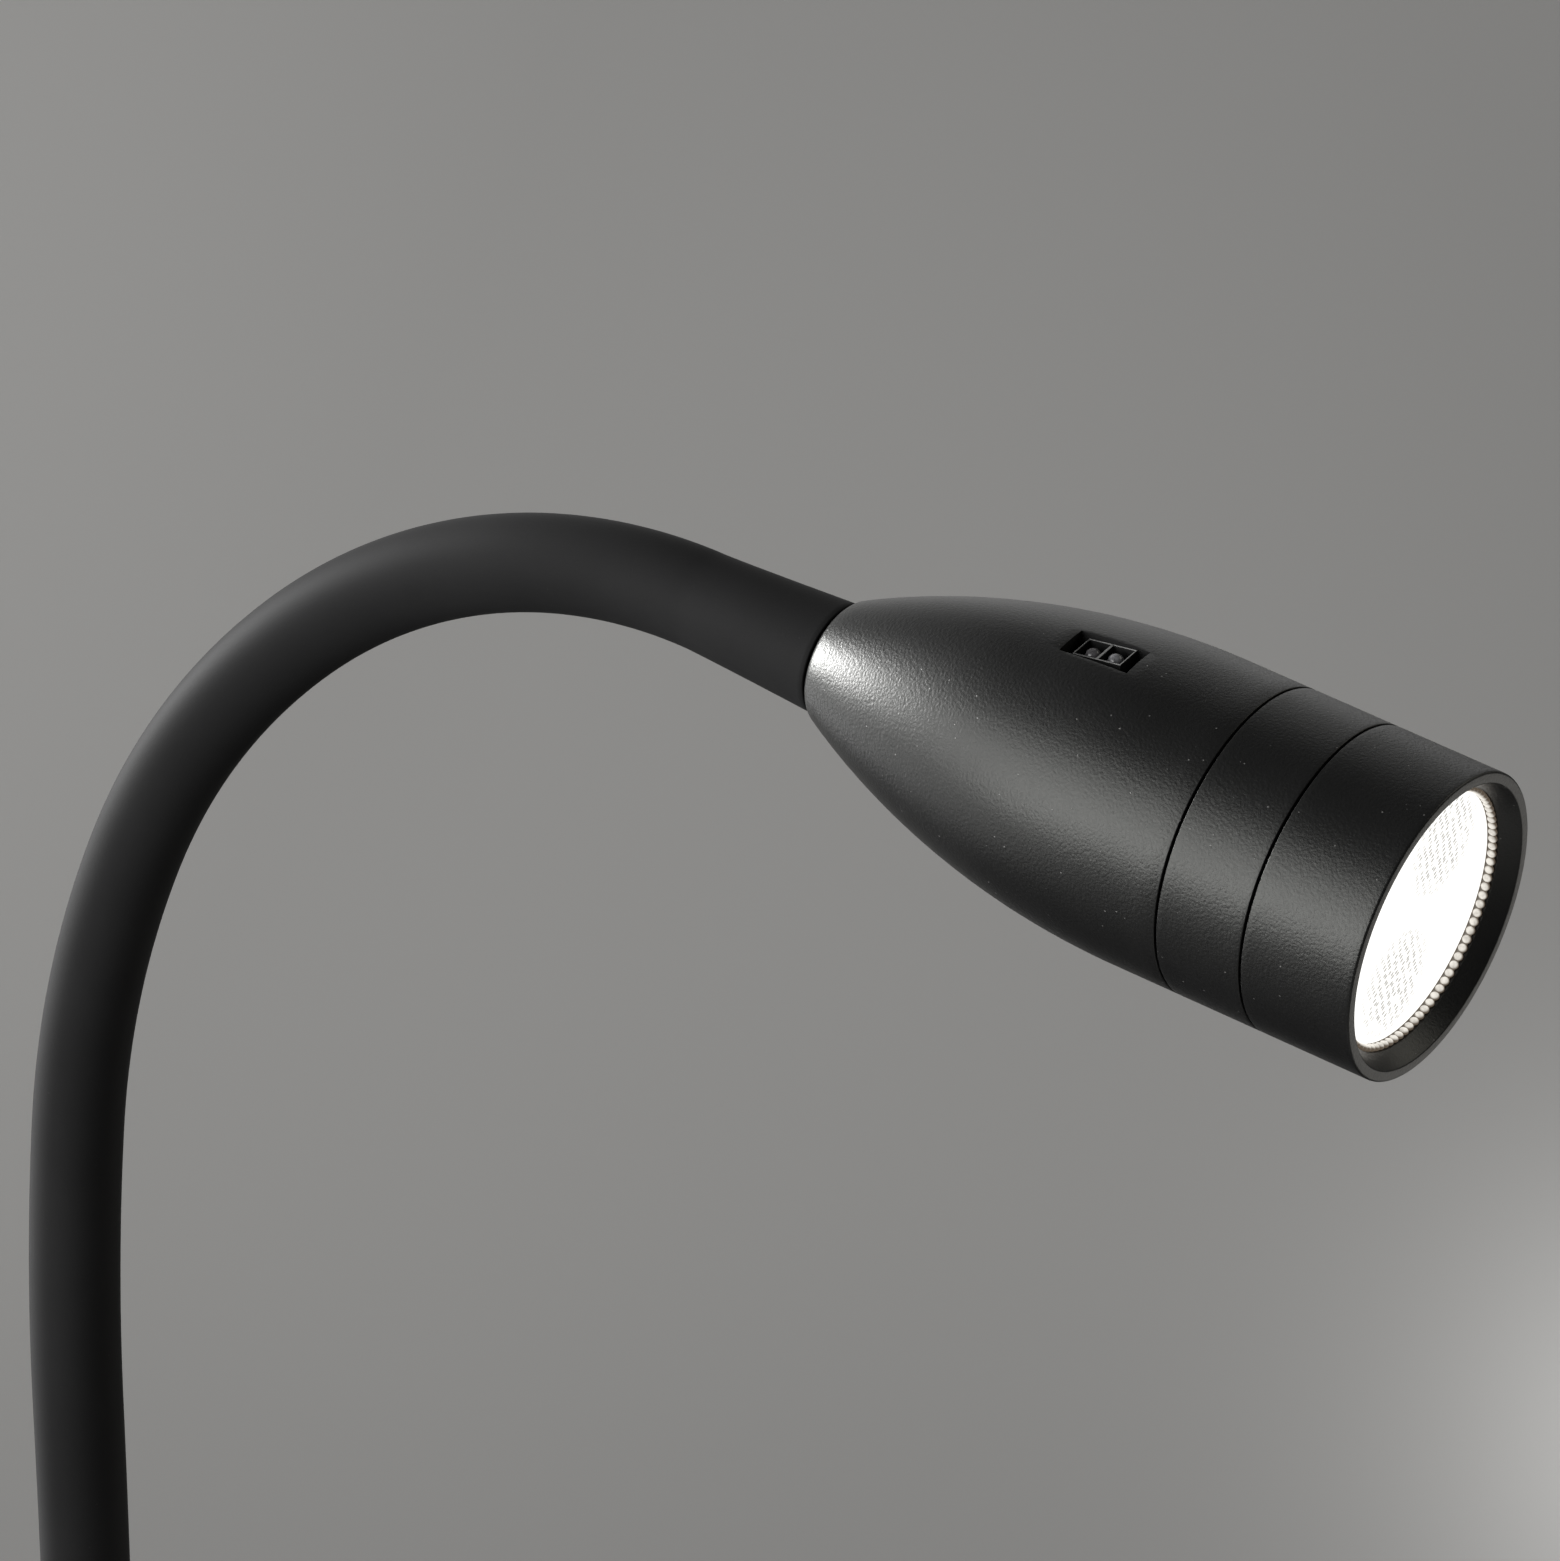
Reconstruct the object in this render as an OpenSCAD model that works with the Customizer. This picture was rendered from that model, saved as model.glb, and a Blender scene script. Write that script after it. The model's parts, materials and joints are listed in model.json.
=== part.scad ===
// Wall-mounted reading light: a round wall canopy with its driver, a sleeved flexible arm
// and a bullet-shaped head with a recessed lens and a touchless switch window.
// Millimetres. The wall is the plane y = 0, the light stands out towards -Y and +Z is up.

/* [Wall canopy] */
// Diameter of the canopy
canopy_d = 88; // [86:1:110]
// Depth of the canopy off the wall
canopy_depth = 28; // [27:0.5:36]
// Wall thickness of the canopy
canopy_wall = 1.8; // [1.2:0.1:2.4]
// Radius of the canopy's rounded front edge
canopy_edge_r = 5; // [3:0.5:8]
// Shadow gap between the canopy's rim and the wall
canopy_rim_gap = 0.4; // [0.2:0.1:1]

/* [Wall plate] */
// Room between the edge of the steel wall plate and the inside of the canopy
plate_room = 3.2; // [2.4:0.1:4]
// Sheet thickness of the plate and its tabs
plate_t = 1.6; // [1.2:0.1:2]
// Distance between the two fixing slots
slot_spacing = 60; // [54:1:62]
// Width of a fixing slot
slot_w = 5; // [4:0.5:6]
// Length of a fixing slot, end to end
slot_len = 10; // [8:0.5:12]
// Diameter of the cable entry
entry_d = 16; // [12:0.5:16]
// Height of the cable entry above the plate's centre
entry_z = 9; // [9:0.5:9.5]
// Width of a bent tab
tab_w = 12; // [9:0.5:14]
// Length of a bent tab off the wall
tab_len = 14; // [13:0.5:18]
// Distance of a tab's outside from the plate's edge
tab_inset = 1.6; // [1.2:0.1:2]
// Distance of the canopy screws off the wall
canopy_screw_off = 9; // [8:0.5:10]
// Thread diameter of the canopy screws
canopy_screw_d = 3; // [2.5:0.5:3.5]
// Thickness of a screw's head
canopy_screw_head_t = 1.9; // [1.5:0.1:2.5]

/* [Terminal block and driver] */
// Width of the terminal block
terminal_w = 28; // [27:0.5:32]
// Height of the terminal block
terminal_h = 14; // [12:0.5:14]
// Depth of the terminal block off the plate
terminal_t = 12; // [11:0.5:16]
// Pitch of the three terminals
terminal_pitch = 8; // [7.5:0.1:8.5]
// Diameter of a terminal screw
terminal_screw_d = 3.6; // [3:0.1:4]
// Height of a terminal screw's lower end above the plate
terminal_floor = 7; // [6.5:0.1:7.5]
// Width of the driver's case
driver_w = 40; // [36:1:42]
// Height of the driver's case
driver_h = 20; // [18:0.5:20]
// Depth of the driver's case without its cover
driver_t = 15; // [13:0.5:16]
// Wall of the driver's case
driver_wall = 1.5; // [1.2:0.1:1.8]
// Width of the driver's transformer
coil_w = 9; // [8:0.5:10]
// Length of the driver's transformer
coil_l = 8; // [7:0.5:9]
// Height of the driver's transformer
coil_h = 8; // [6:0.5:8]
// Diameter of the driver's capacitor
can_d = 8; // [6:0.5:8]
// Height of the driver's capacitor
can_h = 8.5; // [7:0.5:8.5]
// Distance of the terminal block and the driver from the plate's centre line
inner_off = 17; // [17:0.1:17.4]
// Distance of the driver below the plate's centre line
driver_off = 12.5; // [12:0.1:12.8]
// Thickness of a circuit board
board_t = 1.2; // [1:0.1:1.6]
// Diameter of the wires between the terminal block and the driver
wire_d = 2.4; // [1.8:0.1:2.6]
// Distance of those wires from the middle
wire_at = 10; // [9.5:0.1:10.5]

/* [Flexible arm] */
// Outside diameter of the sleeve
sleeve_d = 13; // [12:0.1:14.5]
// Wall of the sleeve
sleeve_wall = 1.8; // [1.4:0.1:2]
// Wall of the wound steel core
core_wall = 2; // [1.6:0.1:2.2]
// Clearance between the sleeve and the core, on the radius
core_clear = 0.2; // [0.1:0.05:0.3]
// Clearance between the core and the lead, on the radius
lead_clear = 0.3; // [0.2:0.05:0.6]
// Arm length between two bending places
link_len = 45; // [42:0.5:50]
// Turn of each stretch of arm, in degrees, from the wall to the head
bends = [14.5, 25.5, 18, 8.5, 5, 17.5, 28, 33.5, 16];
// Direction of each turn round the arm, in degrees
rolls = [176, 177, 179, 191, 85, 67, 62, 51, 46];
// Largest turn at one bending place, in degrees
hinge_max = 40; // [20:1:42]
// Room left between the ends of the core at a bending place
hinge_room = 0.3; // [0.2:0.05:0.6]
// Gap between two lengths of sleeve
sleeve_joint = 0.1; // [0.05:0.05:0.3]
// Straight length of the sleeve's flared end
flare_len = 21; // [17:0.5:26]
// Outside diameter of the sleeve at the head
flare_d = 15; // [14:0.1:15.4]

/* [Arm collar] */
// Length of the collar in front of the canopy
collar_len = 12; // [10:0.5:16]
// Diameter of the collar
collar_d = 18.4; // [17:0.1:22]
// Diameter of the collar's flange
collar_flange_d = 22; // [20:0.5:28]
// Thickness of the flange
collar_flange_t = 2.5; // [1.5:0.1:3]
// Depth of the socket that takes the sleeve
collar_socket = 6; // [4:0.5:7]
// Straight sleeve in front of the collar
collar_lead_out = 2; // [1:0.5:6]
// Diameter of the collar's thread
thread_d = 10; // [9:0.5:11]
// Length of the thread behind the canopy's front
thread_len = 13; // [12:0.5:13]
// Thickness of the nut on the thread
nut_t = 4.5; // [3:0.5:5]
// Width of the nut across its flats
nut_af = 14; // [13:0.5:17]
// Thickness of the toothed washer
washer_t = 1; // [0.6:0.1:1.4]
// Diameter of the collar's grub screw
grub_d = 3; // [2.5:0.5:3]

/* [Head] */
// Length of the head from its neck to its front rim
head_len = 89; // [87:0.5:96]
// Diameter of the head's neck
neck_d = 16; // [15.6:0.1:17]
// Widening of the head behind its front rim, on the radius
swell = 0.3; // [0.1:0.05:0.5]
// Distance from the neck to where that curve starts
ogive_z = 51.4; // [50:0.1:53]
// Wall thickness of the head's shells
head_wall = 1.8; // [1.4:0.1:1.9]
// Bevel of the shell's edge at the neck
neck_bevel = 0.7; // [0.3:0.1:1]
// Length of the boss inside the neck
neck_boss = 7; // [6:0.5:9]
// Gap between the sleeve's end and the neck
neck_gap = 0.5; // [0.3:0.1:1]
// Length of the middle ring
mid_len = 12; // [11:0.1:14]
// Length of the front ring
front_len = 15.2; // [15:0.1:17]
// Width of the grooves between the shell and the rings
groove_w = 0.35; // [0.3:0.05:0.8]
// Length of the spigots that join them
spigot_len = 5; // [4:0.5:5.5]
// Wall of the spigots
spigot_wall = 1.5; // [1.2:0.1:1.7]
// Clearance of the spigots, on the radius
spigot_clear = 0.08; // [0.05:0.01:0.15]
// Width of the flat front rim
rim_w = 1.45; // [1.2:0.05:1.7]
// Width of the bevel from the rim down to the lens
bevel_w = 1.5; // [1.2:0.05:1.8]

/* [Light engine] */
// Depth of the lens behind the front rim
lens_recess = 2.8; // [2.4:0.1:3.4]
// Diameter of the lens's flange, which the head's width follows
lens_d = 34.8; // [34:0.1:36]
// Overlap of the front ring on the lens, on the radius
lens_lip = 0.35; // [0.3:0.05:0.5]
// Thickness of the lens's flange
lens_flange_t = 2.3; // [1.8:0.1:2.6]
// Depth of the lens behind its flange
lens_cone_h = 12.5; // [11:0.1:13]
// Diameter of the lens's narrow end
lens_back_d = 13; // [12:0.1:14]
// Thickness of the lens's seal
seal_t = 0.4; // [0.3:0.1:0.6]
// Thickness of the web that carries the light source
web_t = 3; // [2.5:0.1:3.5]
// Diameter of the round circuit board
led_board_d = 26; // [25.8:0.1:27]
// Thickness of the thermal pad
pad_t = 0.4; // [0.3:0.1:0.6]
// Diameter of the light source
emitter_d = 10; // [8:0.1:10.4]
// Thickness of the light source
emitter_t = 1.2; // [0.8:0.1:1.4]
// Distance of the board's screws from the axis
led_screw_at = 8.3; // [8:0.1:8.6]
// Thread diameter of the board's screws
led_screw_d = 2.5; // [2:0.1:2.5]
// Room round the finned heat sink, on the radius
sink_clear = 1.8; // [1.4:0.1:2.4]
// Thickness of the heat sink's base
sink_t = 3.5; // [3:0.1:4]
// Gap between the heat sink's fins and the control board
fin_gap = 0.5; // [0.3:0.1:1]
// Thickness of a fin
fin_t = 1.2; // [1:0.1:1.4]
// Pitch of the fins
fin_pitch = 4; // [3.6:0.1:4.4]

/* [Touchless switch] */
// Distance of the switch window from the front rim
window_back = 48.9; // [48:0.1:50]
// Direction of the window round the head, in degrees
window_turn = 165.5; // [0:0.5:360]
// Length of the window along the head
window_l = 9.9; // [9.5:0.1:10.6]
// Width of the window
window_w = 4.9; // [4.8:0.1:5.6]
// Length of the sensor's body
sensor_l = 7; // [6.8:0.1:7.4]
// Width of the sensor's body
sensor_w = 3.7; // [3.5:0.1:3.8]
// Distance of the sensor from the window's middle towards the neck
sensor_shift = 0.2; // [0:0.1:0.6]
// Distance of the sensor from the window's middle across the head
sensor_side = 0.4; // [0.2:0.05:0.45]
// Depth of the sensor's face below the surface, at its end towards the neck
sensor_sink = 0.85; // [0.7:0.05:1.2]
// Depth of the sensor's face below the surface, at its end towards the front
sensor_front_sink = 0.25; // [0.2:0.05:0.6]
// Depth of the two cells in the sensor's face
cell_depth = 3.2; // [3:0.1:3.6]
// Wall round and between the cells
cell_wall = 0.4; // [0.3:0.05:0.5]
// Diameter of the emitter and of the receiver
dome_d = 2.1; // [1.8:0.1:2.3]
// Depth of the domes below the sensor's face
dome_sink = 0.1; // [0:0.05:0.4]
// Depth of the control board's upper face below the surface at the window
control_drop = 8.7; // [8.5:0.1:9.2]
// Length of the control board
control_l = 28; // [24:0.5:29]
// Width of the control board
control_w = 18; // [15:0.5:18]
// Diameter of the wires to the light source
led_wire_d = 1.3; // [1:0.1:1.4]
// Length of those wires along the control board
wire_lap = 6; // [4:0.5:8]
// Length of the arm's lead along the control board
lead_lap = 5; // [4:0.5:7]

/* [Fits] */
// Clearance round screws, wires and nuts, on the radius
fit_clear = 0.15; // [0.1:0.01:0.2]
// Clearance of the parts that are pressed or screwed together, on the radius
seat_clear = 0.1; // [0.05:0.01:0.15]

/* [Hidden] */
$fn = 96;
eps = 0.01;

// Canopy, plate and what is on it
canopy_r = canopy_d / 2;
canopy_inside = canopy_depth - canopy_wall;
plate_r = canopy_r - canopy_wall - plate_room;
tab_at = plate_r - tab_inset;
driver_mid = -driver_off - driver_h / 2;
terminal_mid = inner_off + terminal_h / 2;
wire_off = plate_t + 3.4;
lead_bend_r = 5;
lead_off = canopy_depth - thread_len - 3 - lead_bend_r;
wire_depth = 3;

// Radii along the arm
sleeve_r = sleeve_d / 2;
sleeve_bore = sleeve_r - sleeve_wall;
core_r = sleeve_bore - core_clear;
core_bore = core_r - core_wall;
lead_r = core_bore - lead_clear;
last = len(bends) - 1;
core_gap = core_r * tan(hinge_max / 2) + hinge_room;
lead_gap = lead_r * tan(hinge_max / 2) + hinge_room;
collar_front = canopy_depth + collar_len;
arm_start = collar_front + collar_lead_out;
socket_r = sleeve_r + fit_clear;
socket_floor = collar_front - collar_socket;
core_floor = socket_floor - 3;

// Head
lens_show_r = lens_d / 2 - lens_lip;
front_r = lens_show_r + bevel_w + rim_w;
body_r = front_r + swell;
neck_drop = body_r - neck_d / 2;
ogive_r = (pow(ogive_z, 2) + pow(neck_drop, 2)) / (2 * neck_drop);
seam_back = head_len - front_len - mid_len;
seam_front = head_len - front_len;
ring_bore = outer_r(seam_back) - head_wall - spigot_clear - spigot_wall;
spigot_r = thread_d / 2 - seat_clear;
flare_r = flare_d / 2;
flare_slope = (flare_r - sleeve_r) / flare_len;
ferrule_len = flare_len - 0.3;
nut_start = neck_boss;
ferrule_end = nut_start + nut_t + 1.5;
lens_front = head_len - lens_recess;
flange_back = lens_front - lens_flange_t;
lip_back = lens_front + seal_t;
lens_back = flange_back - lens_cone_h;
web_back = seam_back + 2.2;
web_front = web_back + web_t;
board_back = web_front + pad_t;
board_front = board_back + board_t;
holder_wall = 1.35;
holder_foot_r = led_board_d / 2 - 0.2;
holder_top_r = lens_d / 2 - 0.1;
lens_throat_r = holder_top_r - holder_wall - 0.35;

// Switch window
window_z = head_len - window_back;
sensor_z = window_z - sensor_shift;
sensor_back = sensor_z - sensor_l / 2;
sensor_end = sensor_z + sensor_l / 2;
face_back = outer_r(sensor_back) - sensor_sink;
face_end = outer_r(sensor_end) - sensor_front_sink;
cell_floor = face_back - cell_depth;
cell_l = (sensor_l - 3 * cell_wall) / 2;
cell_w = sensor_w - 2 * cell_wall;
control_at = outer_r(window_z) - control_drop;
control_back = window_z - control_l / 2;
sink_r = ring_bore - sink_clear;
fin_len = web_back - sink_t - control_back - control_l - fin_gap;
led_wire_at = control_at - board_t - led_wire_d / 2 - fit_clear;
led_wire_gap = fin_pitch / 2;

// Outside radius of the head at a height above the neck
function outer_r(z) = z < ogive_z
    ? body_r - ogive_r + sqrt(pow(ogive_r, 2) - pow(ogive_z - z, 2))
    : body_r + (front_r - body_r) * (z - ogive_z) / (head_len - ogive_z);
// Middle of a sensor cell along the head, and the height of the sensor's face there
function cell_z(s) = sensor_z + s * (cell_l + cell_wall) / 2;
function face_at(z) = face_back + (face_end - face_back) * (z - sensor_back) / sensor_l;
// Length of one stretch of arm: the first and the last are half a link
function arc_len(i) = (i == 0 || i == last) ? link_len / 2 : link_len;
function arc_r(i) = arc_len(i) * 180 / (PI * bends[i]);
// Turns about one axis, and the frame at the start of stretch i, stepped along the arm
function turn_x(a) = [[1, 0, 0], [0, cos(a), -sin(a)], [0, sin(a), cos(a)]];
function turn_z(a) = [[cos(a), -sin(a), 0], [sin(a), cos(a), 0], [0, 0, 1]];
function arc_turn(i) = turn_z(rolls[i]) * turn_x(bends[i]) * turn_z(-rolls[i]);
function arc_step(i) = turn_z(rolls[i]) * (turn_x(bends[i]) * [0, arc_r(i), 0] - [0, arc_r(i), 0]);
function arm_turn(i) = i == 0 ? turn_x(90) : arm_turn(i - 1) * arc_turn(i - 1);
function arm_pos(i) = i == 0 ? [0, -arm_start, 0] : arm_pos(i - 1) + arm_turn(i - 1) * arc_step(i - 1);

// Frame at the wall, with z out of the wall and y up
module at_wall() {
    rotate([90, 0, 0]) children();
}

// Frame at the end of one stretch of arm, seen from its start
module past_arc(i) {
    rotate([0, 0, rolls[i]])
        translate([0, -arc_r(i), 0])
            rotate([bends[i], 0, 0])
                translate([0, arc_r(i), 0])
                    rotate([0, 0, -rolls[i]]) children();
}

// Frame at the start of stretch i of the arm, with z along it
module on_arm(i) {
    multmatrix([for (k = [0:2]) concat(arm_turn(i)[k], arm_pos(i)[k])]) children();
}

// Frame at the head's neck, with z along the head
module at_neck() {
    on_arm(last + 1) translate([0, 0, flare_len]) children();
}

// Frame at the neck, with x towards the switch window
module at_window() {
    at_neck() rotate([0, 0, window_turn]) children();
}

// Bent tube on stretch i, cut short at both ends; a bore of 0 gives a bent rod
module arc_tube(i, r, bore, cut_start = 0, cut_end = 0) {
    turn = bends[i] / arc_len(i);
    rotate([0, 0, rolls[i]])
        translate([0, -arc_r(i), 0])
            rotate([90, 0, 90])
                rotate([0, 0, turn * cut_start])
                    rotate_extrude(angle = turn * (arc_len(i) - cut_start - cut_end))
                        translate([arc_r(i), 0]) ring_2d(r, bore);
}

module ring_2d(r, bore) {
    difference() {
        circle(r);
        if (bore > 0) circle(bore);
    }
}

module tube(r, bore, z0, z1) {
    translate([0, 0, z0]) linear_extrude(z1 - z0) ring_2d(r, bore);
}

module rod(r, z0, z1) {
    translate([0, 0, z0]) cylinder(r = r, h = z1 - z0);
}

module bar_x(r, x0, x1) {
    rotate([0, 90, 0]) rod(r, x0, x1);
}

module bar_y(r, y0, y1) {
    rotate([-90, 0, 0]) rod(r, y0, y1);
}

module box_at(w, h, z0, z1) {
    translate([-w / 2, -h / 2, z0]) cube([w, h, z1 - z0]);
}

module hex_nut(af, bore, z0, z1) {
    difference() {
        rotate([0, 0, 30]) translate([0, 0, z0]) cylinder(d = af / cos(30), h = z1 - z0, $fn = 6);
        rod(bore, z0 - eps, z1 + eps);
    }
}

// Half section of a cap with a rounded front edge
module cap_2d(r, h, edge) {
    square([r - edge, h]);
    square([r, h - edge]);
    translate([r - edge, h - edge]) circle(edge);
}

// Steel plate on the wall, with slots, cable entry and two bent tabs
module wall_plate() {
    color("lightgray") at_wall() difference() {
        union() {
            rod(plate_r, 0, plate_t);
            for (s = [-1, 1])
                translate([0, s * (tab_at - plate_t / 2), 0]) box_at(tab_w, plate_t, 0, tab_len);
        }
        for (s = [-1, 1]) translate([s * slot_spacing / 2, 0, 0]) slot_cut();
        translate([0, entry_z, 0]) rod(entry_d / 2, -eps, plate_t + eps);
        translate([0, 0, canopy_screw_off]) bar_y(canopy_screw_d / 2 + seat_clear, -canopy_r, canopy_r);
    }
}

module slot_cut() {
    box_at(slot_len - slot_w, slot_w, -eps, plate_t + eps);
    for (s = [-1, 1])
        translate([s * (slot_len - slot_w) / 2, 0, 0]) rod(slot_w / 2, -eps, plate_t + eps);
}

// Turned cover over the plate
module canopy() {
    color([0.06, 0.06, 0.065]) at_wall() difference() {
        rotate_extrude() difference() {
            cap_2d(canopy_r, canopy_depth, canopy_edge_r);
            cap_2d(canopy_r - canopy_wall, canopy_inside, max(canopy_edge_r - canopy_wall, 0.5));
            square([canopy_r + eps, canopy_rim_gap]);
            square([thread_d / 2 + fit_clear, canopy_depth + eps]);
        }
        translate([0, 0, canopy_screw_off]) bar_y(canopy_screw_d / 2 + fit_clear, -canopy_r - eps, canopy_r + eps);
    }
}

// Two screws that hold the canopy on the tabs
module canopy_screws() {
    color([0.1, 0.1, 0.1]) at_wall() for (s = [-1, 1]) translate([0, 0, canopy_screw_off]) rotate([0, 0, 90 - s * 90])
        difference() {
            union() {
                bar_y(canopy_screw_d / 2, tab_at - plate_t - 1.4, canopy_r + eps);
                bar_y(canopy_screw_d * 0.9, canopy_r, canopy_r + canopy_screw_head_t);
            }
            translate([0, canopy_r + canopy_screw_head_t - 1, 0]) rotate([-90, 0, 0])
                cylinder(d = canopy_screw_d * 0.75, h = 2, $fn = 6);
        }
}

module terminal_block() {
    color("whitesmoke") at_wall() translate([0, terminal_mid, 0]) difference() {
        union() {
            box_at(terminal_w, terminal_h, plate_t, plate_t + terminal_t - 2);
            for (i = [-1:1]) translate([i * terminal_pitch, 0, 0])
                box_at(terminal_pitch - 1, terminal_h - 2, plate_t, plate_t + terminal_t);
        }
        for (i = [-1:1]) translate([i * terminal_pitch, 0, 0])
            rod(terminal_screw_d / 2 + seat_clear, plate_t + terminal_floor, plate_t + terminal_t + 1);
        for (s = [-1, 1]) translate([s * wire_at, 0, wire_off])
            bar_y(wire_d / 2 + fit_clear, -terminal_h / 2 - 1, -terminal_h / 2 + wire_depth + fit_clear);
    }
}

// One clamping screw in each terminal
module terminal_screws() {
    color("gold") at_wall() for (i = [-1:1]) translate([i * terminal_pitch, terminal_mid, 0]) difference() {
        rod(terminal_screw_d / 2, plate_t + terminal_floor, plate_t + terminal_t - 1);
        box_at(terminal_screw_d + 1, 0.7, plate_t + terminal_t - 1.8, plate_t + terminal_t);
    }
}

// Open tray of the driver on the plate
module driver_case() {
    color("ghostwhite") at_wall() difference() {
        translate([0, driver_mid, 0]) difference() {
            box_at(driver_w, driver_h, plate_t, plate_t + driver_t);
            box_at(driver_w - 2 * driver_wall, driver_h - 2 * driver_wall, plate_t + driver_wall, plate_t + driver_t + 1);
        }
        driver_wire_cuts();
    }
}

// Holes for the two supply wires and the lead in the driver's upper wall
module driver_wire_cuts() {
    for (s = [-1, 1]) translate([s * wire_at, 0, wire_off])
        bar_y(wire_d / 2 + fit_clear, -driver_off - driver_wall - 1, -driver_off + 1);
    translate([0, 0, lead_off]) bar_y(lead_r + fit_clear, -driver_off - driver_wall - 1, -driver_off + 1);
}

// Circuit board on the floor of the driver's tray
module driver_board() {
    color("darkgreen") at_wall() translate([0, driver_mid, 0]) {
        board = plate_t + driver_wall;
        box_at(driver_w - 2 * driver_wall - 1, driver_h - 2 * driver_wall - 1, board, board + board_t);
        translate([-driver_w / 4, -2, 0]) box_at(coil_w, coil_l, board, board + board_t + coil_h);
        translate([driver_w / 4, -2, 0]) rod(can_d / 2, board, board + board_t + can_h);
    }
}

// Cover that closes the tray, with a lip inside its walls
module driver_cover() {
    color("ghostwhite") at_wall() translate([0, driver_mid, 0]) {
        top = plate_t + driver_t;
        inner_w = driver_w - 2 * (driver_wall + seat_clear);
        inner_h = driver_h - 2 * (driver_wall + seat_clear);
        box_at(driver_w, driver_h, top, top + driver_wall);
        difference() {
            box_at(inner_w, inner_h, top - 2, top + eps);
            box_at(inner_w - 2, inner_h - 2, top - 3, top);
        }
    }
}

// Two supply wires from the terminal block to the driver
module mains_wires() {
    color("saddlebrown") at_wall() for (s = [-1, 1]) translate([s * wire_at, 0, wire_off])
        bar_y(wire_d / 2, -driver_off - driver_wall - 0.5, inner_off + wire_depth);
}

// Turned collar that carries the arm on the canopy's front
module arm_collar() {
    color([0.06, 0.06, 0.065]) at_wall() difference() {
        union() {
            rod(thread_d / 2, canopy_depth - thread_len, canopy_depth + eps);
            rod(collar_flange_d / 2, canopy_depth, canopy_depth + collar_flange_t);
            rod(collar_d / 2, canopy_depth, collar_front - 1);
            translate([0, 0, collar_front - 1]) cylinder(r1 = collar_d / 2, r2 = collar_d / 2 - 0.7, h = 1);
        }
        rod(lead_r + fit_clear, canopy_depth - thread_len - eps, collar_front);
        rod(core_r + seat_clear, core_floor, collar_front);
        rod(socket_r, socket_floor, collar_front + eps);
        translate([0, 0, socket_floor - 1.6]) bar_x(grub_d / 2 + seat_clear, 0, collar_flange_d);
    }
}

module collar_washer() {
    color("silver") at_wall() difference() {
        rod(nut_af / 2 + 1.5, canopy_inside - washer_t, canopy_inside);
        rod(thread_d / 2 + fit_clear, 0, canopy_depth);
    }
}

module collar_nut() {
    color("silver") at_wall()
        hex_nut(nut_af, thread_d / 2 + seat_clear, canopy_inside - washer_t - nut_t, canopy_inside - washer_t);
}

// Grub screw that clamps the core in the collar
module collar_screw() {
    color([0.1, 0.1, 0.1]) at_wall() translate([0, 0, socket_floor - 1.6]) difference() {
        bar_x(grub_d / 2, core_r + seat_clear, collar_d / 2 - 0.4);
        translate([collar_d / 2 - 1.6, 0, 0]) rotate([0, 90, 0]) cylinder(d = grub_d / 2, h = 4, $fn = 6);
    }
}

// Lengths of the one smooth sleeve, parted by a hair at the bending places
module sleeve_base() {
    color([0.05, 0.05, 0.055]) {
        at_wall() tube(sleeve_r, sleeve_bore, socket_floor, arm_start);
        on_arm(0) arc_tube(0, sleeve_r, sleeve_bore);
    }
}

module sleeve_link(i) {
    color([0.05, 0.05, 0.055]) on_arm(i) arc_tube(i, sleeve_r, sleeve_bore, sleeve_joint, 0);
}

module sleeve_head() {
    sleeve_link(last);
}

// End of the sleeve, stretched over the ferrule
module sleeve_flare() {
    tip_r = flare_r - flare_slope * neck_gap;
    color([0.05, 0.05, 0.055]) at_neck() rotate_extrude() polygon([
        [sleeve_bore, sleeve_joint - flare_len], [sleeve_r, sleeve_joint - flare_len],
        [tip_r, -neck_gap], [tip_r - sleeve_wall, -neck_gap]]);
}

// Lengths of the wound steel core, open at the bending places so that they clear each other
module core_base() {
    color("dimgray") {
        at_wall() tube(core_r, core_bore, core_floor, arm_start);
        on_arm(0) arc_tube(0, core_r, core_bore, 0, core_gap);
    }
}

module core_link(i) {
    color("dimgray") on_arm(i) arc_tube(i, core_r, core_bore, core_gap, core_gap);
}

module core_head() {
    color("dimgray") on_arm(last) arc_tube(last, core_r, core_bore, core_gap, 0);
}

// Lengths of the low-voltage lead inside the core
module lead_base() {
    color("black") {
        at_wall() {
            rod(lead_r, lead_off + lead_bend_r, arm_start);
            translate([0, -lead_bend_r, lead_off + lead_bend_r]) rotate([0, 90, 0])
                rotate_extrude(angle = 90) translate([lead_bend_r, 0]) circle(lead_r);
            translate([0, 0, lead_off]) bar_y(lead_r, -driver_off - driver_wall - 0.5, -lead_bend_r);
        }
        on_arm(0) arc_tube(0, lead_r, 0, 0, lead_gap);
    }
}

module lead_link(i) {
    color("black") on_arm(i) arc_tube(i, lead_r, 0, lead_gap, lead_gap);
}

module lead_head() {
    color("black") on_arm(last) arc_tube(last, lead_r, 0, lead_gap, 0);
}

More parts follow.
